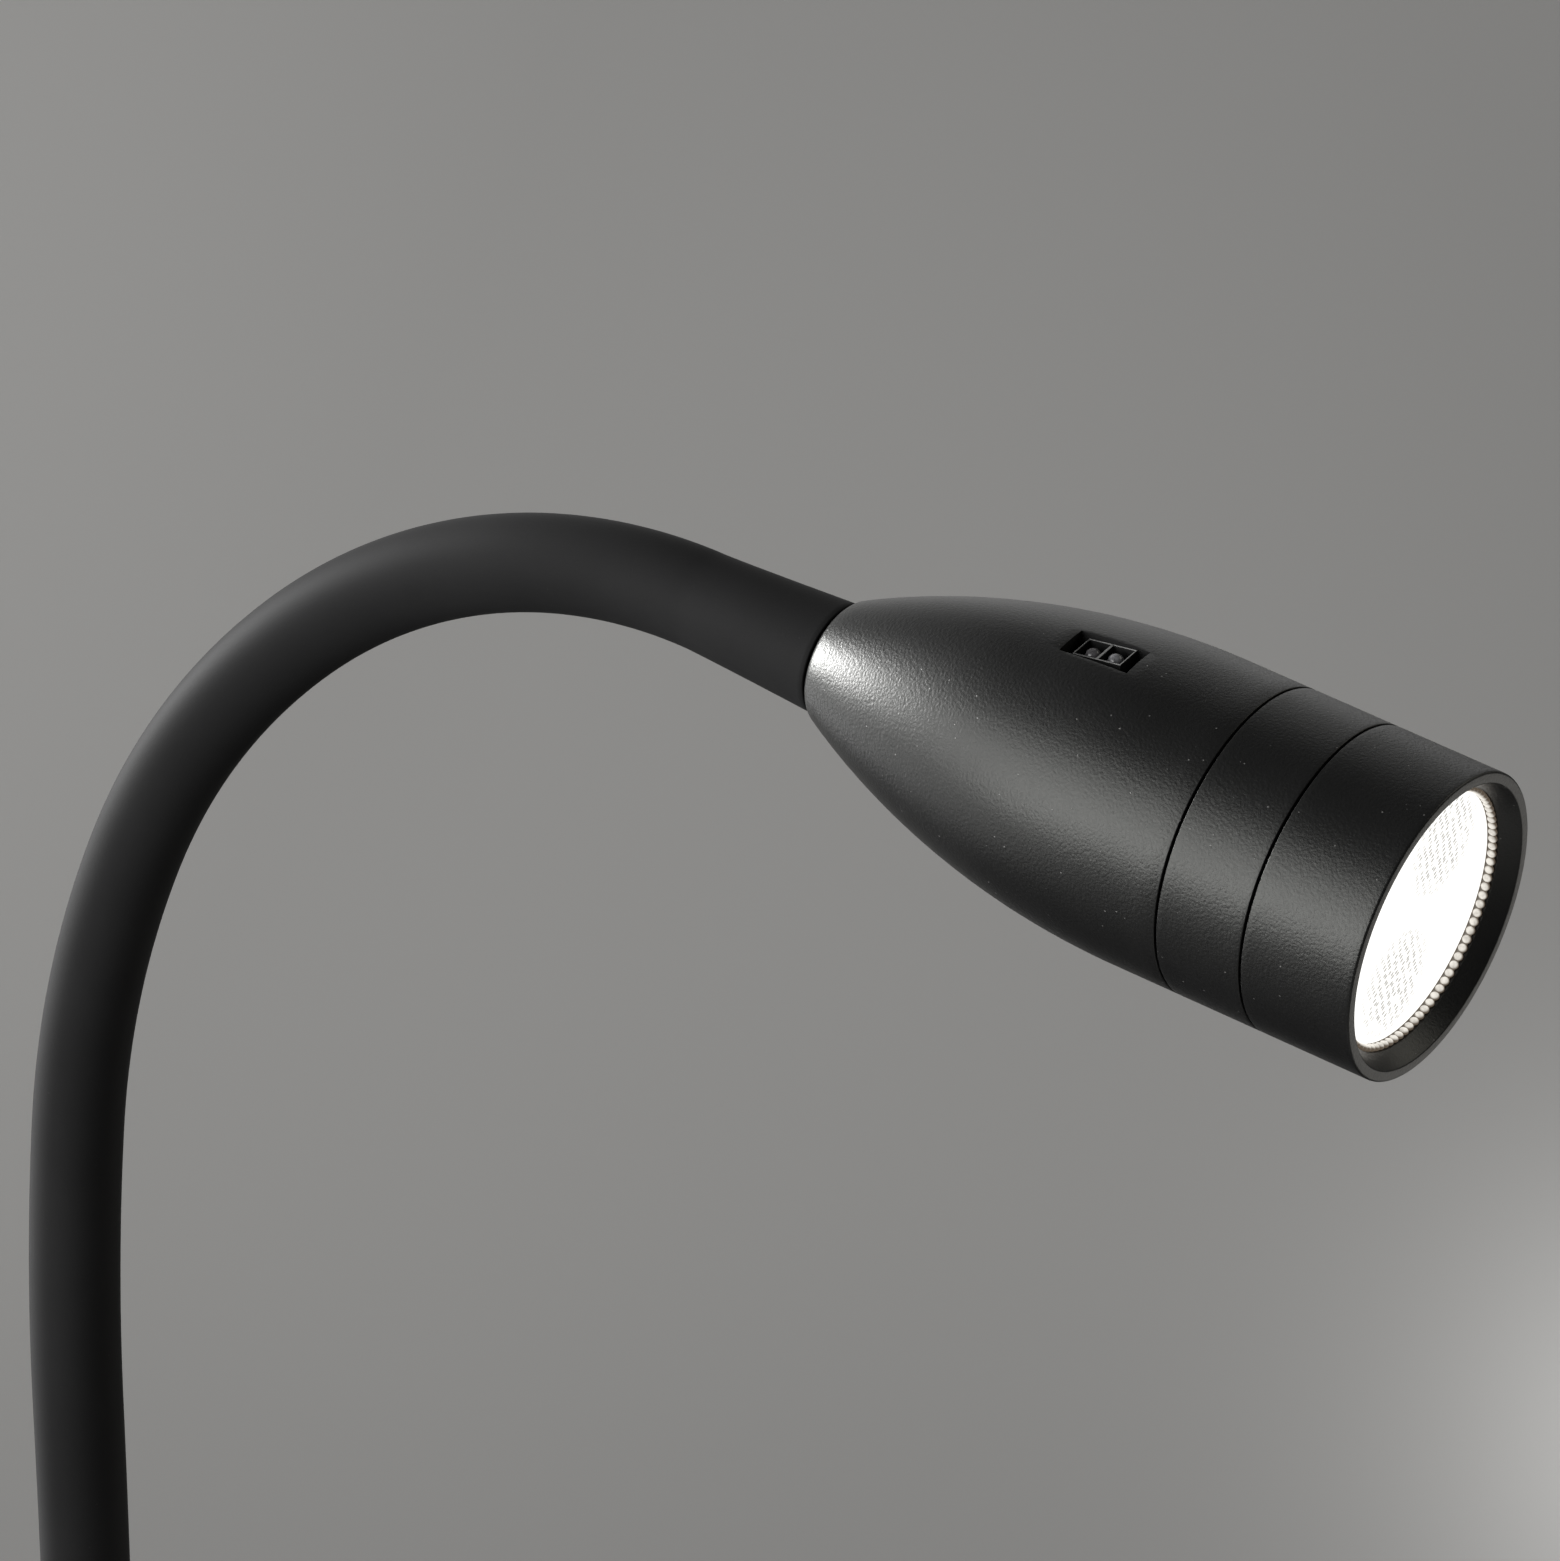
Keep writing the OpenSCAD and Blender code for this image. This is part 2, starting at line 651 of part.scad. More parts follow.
// End of the lead, through the ferrule and up to the control board
module lead_tail() {
    kink = ferrule_end + 1;
    rise = control_at - board_t - 2 * fit_clear - lead_r;
    run = control_back + lead_lap - kink;
    color("black") at_window() {
        rod(lead_r, sleeve_joint - flare_len, kink);
        translate([0, 0, kink]) {
            sphere(lead_r + 0.05);
            rotate([0, atan(rise / run), 0]) rod(lead_r, 0, norm([rise, run]));
        }
    }
}

// Turned ferrule that joins the arm to the neck
module neck_ferrule() {
    shank = sleeve_bore - 0.15;
    color("silver") at_neck() difference() {
        union() {
            rotate_extrude() polygon([
                [0, -ferrule_len], [shank + flare_slope * (flare_len - ferrule_len), -ferrule_len],
                [shank + flare_slope * (flare_len - neck_gap), -neck_gap], [0, -neck_gap]]);
            rod(flare_r - sleeve_wall + 0.6, -neck_gap, 0);
            rod(spigot_r, -eps, ferrule_end);
        }
        rod(lead_r + fit_clear, -flare_len, ferrule_end + 1);
    }
}

module neck_nut() {
    color("silver") at_neck() hex_nut(nut_af, thread_d / 2, nut_start, nut_start + nut_t);
}

// Half section of the bullet shape, set in by a wall
module bullet_2d(inset, z0, z1) {
    intersection() {
        translate([body_r - ogive_r, ogive_z]) circle(ogive_r - inset, $fn = 360);
        translate([0, z0]) square([body_r, ogive_z - z0]);
    }
    polygon([[0, ogive_z], [body_r - inset, ogive_z], [outer_r(z1) - inset, z1], [0, z1]]);
}

// Rear shell of the head, with the window of the touchless switch
module head_shell() {
    color([0.06, 0.06, 0.065]) at_window() difference() {
        rotate_extrude() difference() {
            bullet_2d(0, 0, seam_back - groove_w / 2);
            bullet_2d(head_wall, neck_boss, seam_back + 1);
            square([thread_d / 2 + seat_clear, neck_boss + 1]);
            polygon([[outer_r(0) - neck_bevel, -eps], [outer_r(0) + 1, -eps], [outer_r(0) + 1, 2 * neck_bevel]]);
        }
        translate([outer_r(window_z) - head_wall - 2, 0, 0]) translate([0, -window_w / 2, window_z - window_l / 2])
            cube([head_wall + 4, window_w, window_l]);
    }
}

// Middle ring, with the web that carries the light source and a spigot at each end
module mid_ring() {
    back_r = outer_r(seam_back) - head_wall - spigot_clear;
    tip_r = outer_r(seam_front) - head_wall - spigot_clear;
    z0 = seam_back + groove_w / 2;
    z1 = seam_front - groove_w / 2;
    color([0.06, 0.06, 0.065]) at_window() difference() {
        rotate_extrude() {
            polygon([[ring_bore, z0], [outer_r(z0), z0], [outer_r(z1), z1], [ring_bore, z1]]);
            translate([ring_bore, seam_back - spigot_len]) square([back_r - ring_bore, spigot_len + 1]);
            translate([ring_bore, z1 - eps]) square([tip_r - ring_bore, spigot_len]);
            translate([0, web_back]) square([ring_bore + eps, web_t]);
        }
        led_wire_holes(web_back - 1, web_front + 1);
        led_screw_holes(led_screw_d / 2, web_back - 1, web_front + 1);
    }
}

// Front ring with its flat rim and the bevel down to the lens
module front_ring() {
    z0 = seam_front + groove_w / 2;
    socket_end = seam_front + spigot_len + 0.3;
    socket_wall_r = outer_r(seam_front) - head_wall;
    pocket_r = lens_d / 2 + 0.35;
    color([0.06, 0.06, 0.065]) at_neck() rotate_extrude() polygon([
        [socket_wall_r, z0], [outer_r(z0), z0], [front_r, head_len], [front_r - rim_w, head_len],
        [lens_show_r, lip_back], [pocket_r, lip_back], [pocket_r, socket_end], [socket_wall_r, socket_end]]);
}

module led_wire_holes(z0, z1) {
    for (s = [-1, 1]) translate([led_wire_at, s * led_wire_gap, 0]) rod(led_wire_d / 2 + fit_clear, z0, z1);
}

module led_screw_holes(r, z0, z1) {
    for (s = [-1, 1]) translate([0, s * led_screw_at, 0]) rod(r, z0, z1);
}

// Finned heat sink behind the web
module heat_sink() {
    z1 = web_back - sink_t;
    fins = floor((sink_r - fin_t) / fin_pitch);
    color("silver") at_window() difference() {
        union() {
            rod(sink_r, z1, web_back);
            intersection() {
                rod(sink_r, z1 - fin_len, z1 + eps);
                for (i = [-fins:fins]) translate([0, i * fin_pitch, 0]) box_at(2 * sink_r, fin_t, z1 - fin_len, z1 + eps);
            }
        }
        led_wire_holes(z1 - fin_len, web_back + 1);
        led_screw_holes(led_screw_d / 2 + fit_clear, z1 - fin_len - 1, web_back + 1);
    }
}

module thermal_pad() {
    color("lightpink") at_window() difference() {
        rod(led_board_d / 2 - 1, web_front, board_back);
        led_wire_holes(web_front - 1, board_back + 1);
        led_screw_holes(led_screw_d / 2 + fit_clear, web_front - 1, board_back + 1);
    }
}

module led_board() {
    color("white") at_window() difference() {
        rod(led_board_d / 2, board_back, board_front);
        led_wire_holes(board_back - 1, board_front + 1);
        led_screw_holes(led_screw_d / 2 + fit_clear, board_back - 1, board_front + 1);
    }
}

module led_emitter() {
    color("gold") at_neck() {
        rod(emitter_d / 2, board_front, board_front + emitter_t / 2);
        rod(emitter_d / 2 - 1, board_front, board_front + emitter_t);
    }
}

module led_screws() {
    color("silver") at_window() for (s = [-1, 1]) translate([0, s * led_screw_at, 0]) {
        rod(led_screw_d / 2 - 0.02, web_back + 0.5, board_front + eps);
        rod(led_screw_d * 0.85, board_front, board_front + 1.4);
    }
}

// Tapered holder that stands on the board and carries the lens by its flange
module lens_holder() {
    color([0.08, 0.08, 0.08]) at_neck() rotate_extrude() polygon([
        [holder_foot_r - holder_wall, board_front], [holder_foot_r, board_front],
        [holder_top_r, flange_back - 1], [holder_top_r, flange_back],
        [holder_top_r - holder_wall, flange_back]]);
}

// Collimating lens: a cone with a pocket over the light source, a flange and a flat face
module lens() {
    color([0.95, 0.95, 0.92, 0.6]) at_neck() difference() {
        rotate_extrude() polygon([
            [0, lens_back], [lens_back_d / 2, lens_back], [lens_throat_r, flange_back],
            [lens_d / 2, flange_back], [lens_d / 2, lens_front], [0, lens_front]]);
        translate([0, 0, lens_back - eps]) cylinder(r1 = emitter_d / 2 + 0.2, r2 = emitter_d / 2 - 0.8, h = 5);
    }
}

module lens_seal() {
    color([0.03, 0.03, 0.03]) at_neck() tube(lens_d / 2 + 0.2, lens_show_r + 0.1, lens_front, lip_back);
}

// Control board along the head, under the switch window
module control_board() {
    color("darkgreen") at_window()
        translate([control_at - board_t, -control_w / 2, control_back]) cube([board_t, control_w, control_l]);
}

// Sensor block with one cell for the emitter and one for the receiver, its face sloping down to the neck
module sensor_body() {
    color([0.07, 0.07, 0.075]) at_window() translate([0, -sensor_side, 0]) difference() {
        translate([0, sensor_w / 2, 0]) rotate([90, 0, 0]) linear_extrude(sensor_w) polygon([
            [control_at, sensor_back], [control_at, sensor_end], [face_end, sensor_end], [face_back, sensor_back]]);
        for (s = [-1, 1]) translate([cell_floor, -cell_w / 2, cell_z(s) - cell_l / 2])
            cube([face_end - cell_floor + 1, cell_w, cell_l]);
    }
}

// Round-topped emitter or receiver standing in its cell
module dome(s) {
    mid = face_at(cell_z(s)) - dome_sink - dome_d / 2;
    at_window() translate([0, -sensor_side, cell_z(s)]) rotate([0, 90, 0]) rotate_extrude() {
        translate([0, cell_floor]) square([dome_d / 2, mid - cell_floor + eps]);
        translate([0, mid]) intersection() {
            circle(d = dome_d);
            square(dome_d);
        }
    }
}

module sensor_emitter() {
    color("lightsteelblue") dome(1);
}

module sensor_receiver() {
    color([0.15, 0.13, 0.16]) dome(-1);
}

// Two wires from the control board to the light source
module led_wires() {
    color("crimson") at_window() for (s = [-1, 1]) translate([led_wire_at, s * led_wire_gap, 0])
        rod(led_wire_d / 2, control_back + control_l - wire_lap, board_front);
}

wall_plate();
canopy();
canopy_screws();
terminal_block();
terminal_screws();
driver_case();
driver_board();
driver_cover();
mains_wires();
arm_collar();
collar_washer();
collar_nut();
collar_screw();
sleeve_base();
for (i = [1:last - 1]) sleeve_link(i);
sleeve_head();
sleeve_flare();
core_base();
for (i = [1:last - 1]) core_link(i);
core_head();
lead_base();
for (i = [1:last - 1]) lead_link(i);
lead_head();
lead_tail();
neck_ferrule();
neck_nut();
head_shell();
mid_ring();
front_ring();
heat_sink();
thermal_pad();
led_board();
led_emitter();
led_screws();
lens_holder();
lens();
lens_seal();
control_board();
sensor_body();
sensor_emitter();
sensor_receiver();
led_wires();
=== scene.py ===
"""Looks of a wall light with a flexible arm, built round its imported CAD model."""

import json
import logging
import math
from dataclasses import dataclass, field
from enum import Enum
from typing import Sequence, Union

import bmesh
import bpy
from mathutils import Matrix, Vector

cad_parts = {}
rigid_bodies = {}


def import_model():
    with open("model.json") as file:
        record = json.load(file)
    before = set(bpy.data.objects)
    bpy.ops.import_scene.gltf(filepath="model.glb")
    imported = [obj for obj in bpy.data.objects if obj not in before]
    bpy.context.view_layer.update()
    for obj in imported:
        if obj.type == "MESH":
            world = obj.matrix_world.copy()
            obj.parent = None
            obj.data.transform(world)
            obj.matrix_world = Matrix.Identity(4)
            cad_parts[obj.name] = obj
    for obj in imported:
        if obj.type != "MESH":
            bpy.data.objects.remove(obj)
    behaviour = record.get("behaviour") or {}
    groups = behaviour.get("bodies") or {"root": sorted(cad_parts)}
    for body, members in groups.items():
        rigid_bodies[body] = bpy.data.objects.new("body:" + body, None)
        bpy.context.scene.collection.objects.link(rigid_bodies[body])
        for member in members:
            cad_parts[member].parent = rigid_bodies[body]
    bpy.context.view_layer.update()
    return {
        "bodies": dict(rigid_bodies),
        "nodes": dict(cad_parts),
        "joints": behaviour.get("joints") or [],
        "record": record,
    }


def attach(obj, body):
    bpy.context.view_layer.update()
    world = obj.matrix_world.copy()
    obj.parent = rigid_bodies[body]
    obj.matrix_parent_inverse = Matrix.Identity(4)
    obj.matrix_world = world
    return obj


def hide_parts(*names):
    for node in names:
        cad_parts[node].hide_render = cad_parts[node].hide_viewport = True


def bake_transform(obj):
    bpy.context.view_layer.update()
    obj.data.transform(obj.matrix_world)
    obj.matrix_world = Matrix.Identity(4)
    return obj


MM = 0.001
# Vertices closer than this are merged
WELD = 0.0005 * MM
# Distance from the neck to the place on the head that the lights face
AIM = 45 * MM
LOG = logging.getLogger("wall_light")

Triple = tuple[float, float, float]
Colour = Triple
Point = tuple[float, float]
Value = Union[float, "Wire"]


class Body(Enum):
    """Rigid bodies of the frame, from the wall to the head."""

    WALL = "wall_side"
    LINK_1 = "arm_link_1"
    LINK_2 = "arm_link_2"
    LINK_3 = "arm_link_3"
    LINK_4 = "arm_link_4"
    LINK_5 = "arm_link_5"
    LINK_6 = "arm_link_6"
    LINK_7 = "arm_link_7"
    HEAD = "head"


class Grain(Enum):
    """How a bare metal's surface is worked."""

    CAST = (1.0, 1.0, 1.0)
    BRUSHED = (0.06, 1.0, 1.0)
    TURNED = (1.0, 1.0, 0.08)


class Wire:
    """A shader output that takes part in Python arithmetic."""

    def __init__(self, board: "Board", socket: bpy.types.NodeSocket) -> None:
        """Keeps the output and the board that it lies on."""
        self.board = board
        self.socket = socket

    def __add__(self, other: Value) -> "Wire":
        """Sum."""
        return self.board.maths("ADD", self, other)

    def __sub__(self, other: Value) -> "Wire":
        """Difference."""
        return self.board.maths("SUBTRACT", self, other)

    def __rsub__(self, other: Value) -> "Wire":
        """Difference from a number."""
        return self.board.maths("SUBTRACT", other, self)

    def __mul__(self, other: Value) -> "Wire":
        """Product."""
        return self.board.maths("MULTIPLY", self, other)

    __radd__ = __add__
    __rmul__ = __mul__

    def step(self, low: float, high: float) -> "Wire":
        """Smooth step from 0 at low to 1 at high, or down where low is the larger."""
        return self.board.node(
            "ShaderNodeMapRange",
            {"interpolation_type": "SMOOTHSTEP"},
            {"Value": self, "From Min": low, "From Max": high},
        )


class Board:
    """The node board of one material, with its surface shader."""

    def __init__(self, name: str) -> None:
        """Makes the material, its shader and its output.

        Args:
            name: Name of the material.
        """
        self.material = bpy.data.materials.new(name)
        self.material.use_nodes = True
        self.tree = self.material.node_tree
        self.tree.nodes.clear()
        self.shader = self.tree.nodes.new("ShaderNodeBsdfPrincipled")
        output = self.tree.nodes.new("ShaderNodeOutputMaterial")
        self.tree.links.new(self.shader.outputs[0], output.inputs["Surface"])

    def node(
        self,
        kind: str,
        settings: dict[str, object] | None = None,
        inputs: dict[str | int, object] | None = None,
        out: str | int = 0,
    ) -> Wire:
        """Makes one node.

        Args:
            kind: Blender's name of the node type.
            settings: Properties of the node.
            inputs: Values or wires for its sockets.
            out: The output to hand back.

        Returns:
            The wire of that output.
        """
        made = self.tree.nodes.new(kind)
        for key, value in (settings or {}).items():
            setattr(made, key, value)
        for key, value in (inputs or {}).items():
            self._plug(made.inputs[key], value)
        return Wire(self, made.outputs[out])

    def _plug(self, socket: bpy.types.NodeSocket, value: object) -> None:
        """Links a wire to a socket, or sets the socket's value.

        Args:
            socket: The socket.
            value: A wire, or a value of the socket's own kind.
        """
        if isinstance(value, Wire):
            self.tree.links.new(value.socket, socket)
        else:
            socket.default_value = value

    def maths(self, operation: str, first: Value, second: Value) -> Wire:
        """One Math node on two values."""
        return self.node("ShaderNodeMath", {"operation": operation}, {0: first, 1: second})

    def place(self, output: str = "Object", stretch: Triple = (1.0, 1.0, 1.0)) -> Wire:
        """Coordinates of the piece, stretched along its axes."""
        spot = self.node("ShaderNodeTexCoord", out=output)
        return self.node("ShaderNodeVectorMath", {"operation": "MULTIPLY"}, {0: spot, 1: stretch})

    def noise(self, scale: float, detail: float = 2.0, stretch: Triple = (1.0, 1.0, 1.0)) -> Wire:
        """Noise with about one feature per 1 / scale metres."""
        inputs = {"Vector": self.place(stretch=stretch), "Scale": scale, "Detail": detail}
        return self.node("ShaderNodeTexNoise", {}, inputs)

    def specks(self, scale: float, size: float) -> Wire:
        """Sparse small dots: 1 on a dot and 0 off it."""
        cell = self.node("ShaderNodeTexVoronoi", {}, {"Vector": self.place(), "Scale": scale})
        return cell.step(size, size * 0.5)

    def mix(self, share: Value, first: Colour | Wire, second: Colour | Wire) -> Wire:
        """Colour between two colours."""
        ends = [c if isinstance(c, Wire) else (*c, 1.0) for c in (first, second)]
        return self.node("ShaderNodeMix", {"data_type": "RGBA"}, {0: share, 6: ends[0], 7: ends[1]}, out=2)

    def surface(self, **sockets: object) -> None:
        """Sets the shader's sockets.

        Args:
            **sockets: Values or wires by socket, named with _ for a space.
        """
        for key, value in sockets.items():
            if isinstance(value, tuple) and len(value) == 3 and key != "Normal":
                value = (*value, 1.0)
            self._plug(self.shader.inputs[key.replace("_", " ")], value)

    def relief(self, height: Wire, depth: float) -> Wire:
        """Normal of a fine relief, depth in metres."""
        return self.node("ShaderNodeBump", {}, {"Strength": 1.0, "Distance": depth, "Height": height})


@dataclass(frozen=True)
class Finish:
    """A surface finish.

    Attributes:
        name: Name of the material.
        tone: Main colour.
        rough: Mean roughness.
    """

    name: str
    tone: Colour
    rough: float

    def paint(self) -> bpy.types.Material:
        """Makes the material.

        Returns:
            The material.
        """
        raise NotImplementedError

    def shade(self, share: float) -> Colour:
        """The main colour, made lighter or darker."""
        return tuple(min(1.0, c * share) for c in self.tone)


@dataclass(frozen=True)
class SatinCoat(Finish):
    """Satin paint on metal: a fine orange peel, faint clouding and a few specks.

    Attributes:
        peel: Depth of the orange peel in metres.
        dust: Colour of the specks.
    """

    peel: float = 0.000052
    dust: Colour = (0.19, 0.185, 0.18)

    def paint(self) -> bpy.types.Material:
        """Makes the material.

        Returns:
            The material.
        """
        board = Board(self.name)
        peel = board.noise(2600, 3)
        cloud = board.noise(55, 3)
        speck = board.specks(520, 0.07)
        tone = board.mix(cloud.step(0.3, 0.7), self.shade(0.85), self.shade(1.15))
        board.surface(
            Base_Color=board.mix(speck * 0.9, tone, self.dust),
            Roughness=self.rough + (cloud - 0.5) * 0.07 + (peel - 0.5) * 0.10,
            Normal=board.relief(peel + speck * 0.5, self.peel),
            Specular_IOR_Level=0.57,
            Specular_Tint=(0.99, 1.0, 0.955),
        )
        return board.material


@dataclass(frozen=True)
class Rubber(Finish):
    """Matt rubber: fine grain, faint bloom and a little dust.

    Attributes:
        dust: Colour of the dust.
    """

    dust: Colour = (0.12, 0.115, 0.11)

    def paint(self) -> bpy.types.Material:
        """Makes the material.

        Returns:
            The material.
        """
        board = Board(self.name)
        grain = board.noise(3800, 3)
        bloom = board.noise(38, 4)
        dust = board.specks(330, 0.03)
        tone = board.mix(bloom.step(0.35, 0.7), self.shade(0.93), self.shade(1.08))
        board.surface(
            Base_Color=board.mix(dust * 0.35, tone, self.dust),
            Roughness=self.rough + (bloom - 0.5) * 0.04 + (grain - 0.5) * 0.08,
            Normal=board.relief(grain, 0.00002),
            Specular_IOR_Level=0.05,
            Sheen_Weight=0.01,
            Sheen_Roughness=0.45,
        )
        return board.material


@dataclass(frozen=True)
class BareMetal(Finish):
    """Bare or plated metal with worked marks.

    Attributes:
        grain: How the surface is worked.
    """

    grain: Grain = Grain.CAST

    def paint(self) -> bpy.types.Material:
        """Makes the material.

        Returns:
            The material.
        """
        board = Board(self.name)
        marks = board.noise(1500, 3, self.grain.value)
        tarnish = board.noise(90, 4)
        board.surface(
            Base_Color=board.mix(tarnish.step(0.35, 0.75), self.shade(0.9), self.shade(1.05)),
            Metallic=1.0,
            Roughness=self.rough + (marks - 0.5) * 0.22 + (tarnish - 0.5) * 0.12,
            Normal=board.relief(marks, 0.000015),
        )
        return board.material


@dataclass(frozen=True)
class Moulded(Finish):
    """Moulded plastic with a fine grain and faint flow marks."""

    def paint(self) -> bpy.types.Material:
        """Makes the material.

        Returns:
            The material.
        """
        board = Board(self.name)
        grain = board.noise(4200, 2)
        flow = board.noise(120, 3, (1.0, 0.4, 1.0))
        board.surface(
            Base_Color=board.mix(flow.step(0.3, 0.7), self.shade(0.88), self.shade(1.08)),
            Roughness=self.rough + (flow - 0.5) * 0.1,
            Normal=board.relief(grain, 0.00001),
        )
        return board.material


@dataclass(frozen=True)
class Circuit(Finish):
    """Lacquered circuit board with pale tracks.

    Attributes:
        track: Colour of the tracks.
    """

    track: Colour = (0.5, 0.42, 0.2)

    def paint(self) -> bpy.types.Material:
        """Makes the material.

        Returns:
            The material.
        """
        board = Board(self.name)
        tracks = board.node(
            "ShaderNodeTexBrick",
            {"offset": 0.37},
            {"Vector": board.place(), "Scale": 210.0, "Mortar Size": 0.05, "Mortar Smooth": 0.2},
            out=1,
        )
        cloth = board.noise(900, 2)
        lacquer = board.mix(cloth, self.shade(0.8), self.shade(1.2))
        board.surface(
            Base_Color=board.mix(tracks * 0.55, lacquer, self.track),
            Roughness=self.rough + (cloth - 0.5) * 0.15,
            Normal=board.relief(tracks, 0.00003),
            Coat_Weight=0.3,
        )
        return board.material


@dataclass(frozen=True)
class Dome(Finish):
    """Small moulded lens of the touchless switch, faintly cloudy."""

    def paint(self) -> bpy.types.Material:
        """Makes the material.

        Returns:
            The material.
        """
        board = Board(self.name)
        haze = board.noise(1400, 3)
        board.surface(
            Base_Color=board.mix(haze.step(0.3, 0.7), self.shade(0.75), self.shade(1.2)),
            Roughness=self.rough + (haze - 0.5) * 0.1,
            Coat_Weight=0.5,
        )
        return board.material


@dataclass(frozen=True)
class LitLens(Finish):
    """The lit face of the lens, with some of its small facets just showing as grey dashes.

    Attributes:
        glow: Strength of the light.
        pitch: Facets per metre of the face's own coordinates.
        patches: Middles of the places where the facets show, in those coordinates.
        spread: Radius of these places.
        mark: Colour of a dash.
        edge: Radius of the lit face.
        rim: Colour of the wall and the rim outside it.
        glass: Colour of the clear plastic.
    """

    glow: float = 1.25
    pitch: float = 1500.0
    patches: tuple[Point, ...] = ((-0.0057, 0.0077), (0.0067, -0.0055))
    spread: float = 0.0105
    mark: Colour = (0.40, 0.395, 0.38)
    edge: float = 0.0164
    rim: Colour = (0.075, 0.062, 0.048)
    glass: Colour = (0.12, 0.12, 0.115)

    def paint(self) -> bpy.types.Material:
        """Makes the material.

        Returns:
            The material.
        """
        board = Board(self.name)
        face = board.place("UV")
        cells = board.node(
            "ShaderNodeTexVoronoi",
            {"voronoi_dimensions": "2D"},
            {"Vector": board.place("UV", (1.0, 0.55, 1.0)), "Scale": self.pitch, "Randomness": 0.4},
        )
        broken = board.node("ShaderNodeTexNoise", {}, {"Vector": face, "Scale": 420.0, "Detail": 2.0})
        near = sum(self._near(board, face, spot) for spot in self.patches)
        dash = cells.step(0.42, 0.24) * broken.step(0.28, 0.48) * (near + 0.16).step(0.05, 0.85)
        out = board.node("ShaderNodeVectorMath", {"operation": "LENGTH"}, {0: face}, out=1)
        lit = out.step(1.01 * self.edge, self.edge)
        board.surface(
            Base_Color=self.glass,
            Roughness=self.rough,
            Emission_Color=board.mix(lit, self.rim, board.mix(dash, self.tone, self.mark)),
            Emission_Strength=self.glow,
            Normal=board.relief(cells.step(0.0, 0.4), 0.00004),
        )
        return board.material

    def _near(self, board: Board, face: Wire, spot: Point) -> Wire:
        """1 at the middle of a place where facets show and 0 outside it."""
        ends = {0: face, 1: (*spot, 0.0)}
        away = board.node("ShaderNodeVectorMath", {"operation": "DISTANCE"}, ends, out=1)
        return away.step(self.spread, 0.1 * self.spread)


@dataclass(frozen=True)
class LitBeads(Finish):
    """The ring of beads round the lens, lit from inside and cloudy, with painted shade at their feet and a
    painted highlight on their crowns.

    Attributes:
        glow: Strength of the light in them.
        foot: Colour of the painted shade at their feet.
    """

    glow: float = 0.8
    foot: Colour = (0.13, 0.10, 0.072)

    def paint(self) -> bpy.types.Material:
        """Makes the material.

        Returns:
            The material.
        """
        board = Board(self.name)
        cloud = board.noise(1500, 2)
        crown = board.node("ShaderNodeAttribute", {"attribute_name": "crown"}, out="Fac")
        # Painted shading: the glow is brightest on each bead's crown and falls to the darker foot colour,
        # standing in for the beads' shade.
        painted_bead_shading = crown.step(0.15, 0.85) * (0.3 + cloud * 1.2)
        board.surface(
            Base_Color=board.mix(cloud, self.shade(0.06), self.shade(0.12)),
            Roughness=self.rough + (cloud - 0.5) * 0.1,
            Emission_Color=board.mix(painted_bead_shading, self.foot, self.tone),
            Emission_Strength=self.glow,
            Coat_Weight=0.4,
        )
        return board.material


@dataclass(frozen=True)
class CellBlock(Finish):
    """Black plastic whose thin upper edges carry a painted highlight: a paler colour.

    Attributes:
        painted_edge_highlight: Colour of the painted highlight on the edges.
    """

    painted_edge_highlight: Colour = (0.24, 0.24, 0.235)

    def paint(self) -> bpy.types.Material:
        """Makes the material.

        Returns:
            The material.
        """
        board = Board(self.name)
        grain = board.noise(2400, 3)
        # The upper edges of the walls get the paler colour: a painted highlight.
        edge = board.node("ShaderNodeAttribute", {"attribute_name": "painted_edge_highlight"}, out="Fac")
        board.surface(
            Base_Color=board.mix(edge * (0.6 + grain * 0.8), self.tone, self.painted_edge_highlight),
            Roughness=self.rough - edge * 0.35 + (grain - 0.5) * 0.1,
            Normal=board.relief(grain, 0.00001),
            Specular_IOR_Level=0.3,
        )
        return board.material


@dataclass(frozen=True)
class Backing(Finish):
    """Plain matt paper of the studio, faintly uneven."""

    def paint(self) -> bpy.types.Material:
        """Makes the material.

        Returns:
            The material.
        """
        board = Board(self.name)
        cloud = board.noise(0.8, 2)
        board.surface(
            Base_Color=board.mix(cloud, self.shade(0.97), self.shade(1.03)),
            Roughness=self.rough,
            Specular_IOR_Level=0.1,
        )
        return board.material


BLACK_COAT = SatinCoat("satin_black", (0.008, 0.008, 0.0082), 0.38)
SLEEVE = Rubber("sleeve_rubber", (0.0245, 0.0245, 0.0248), 0.62)

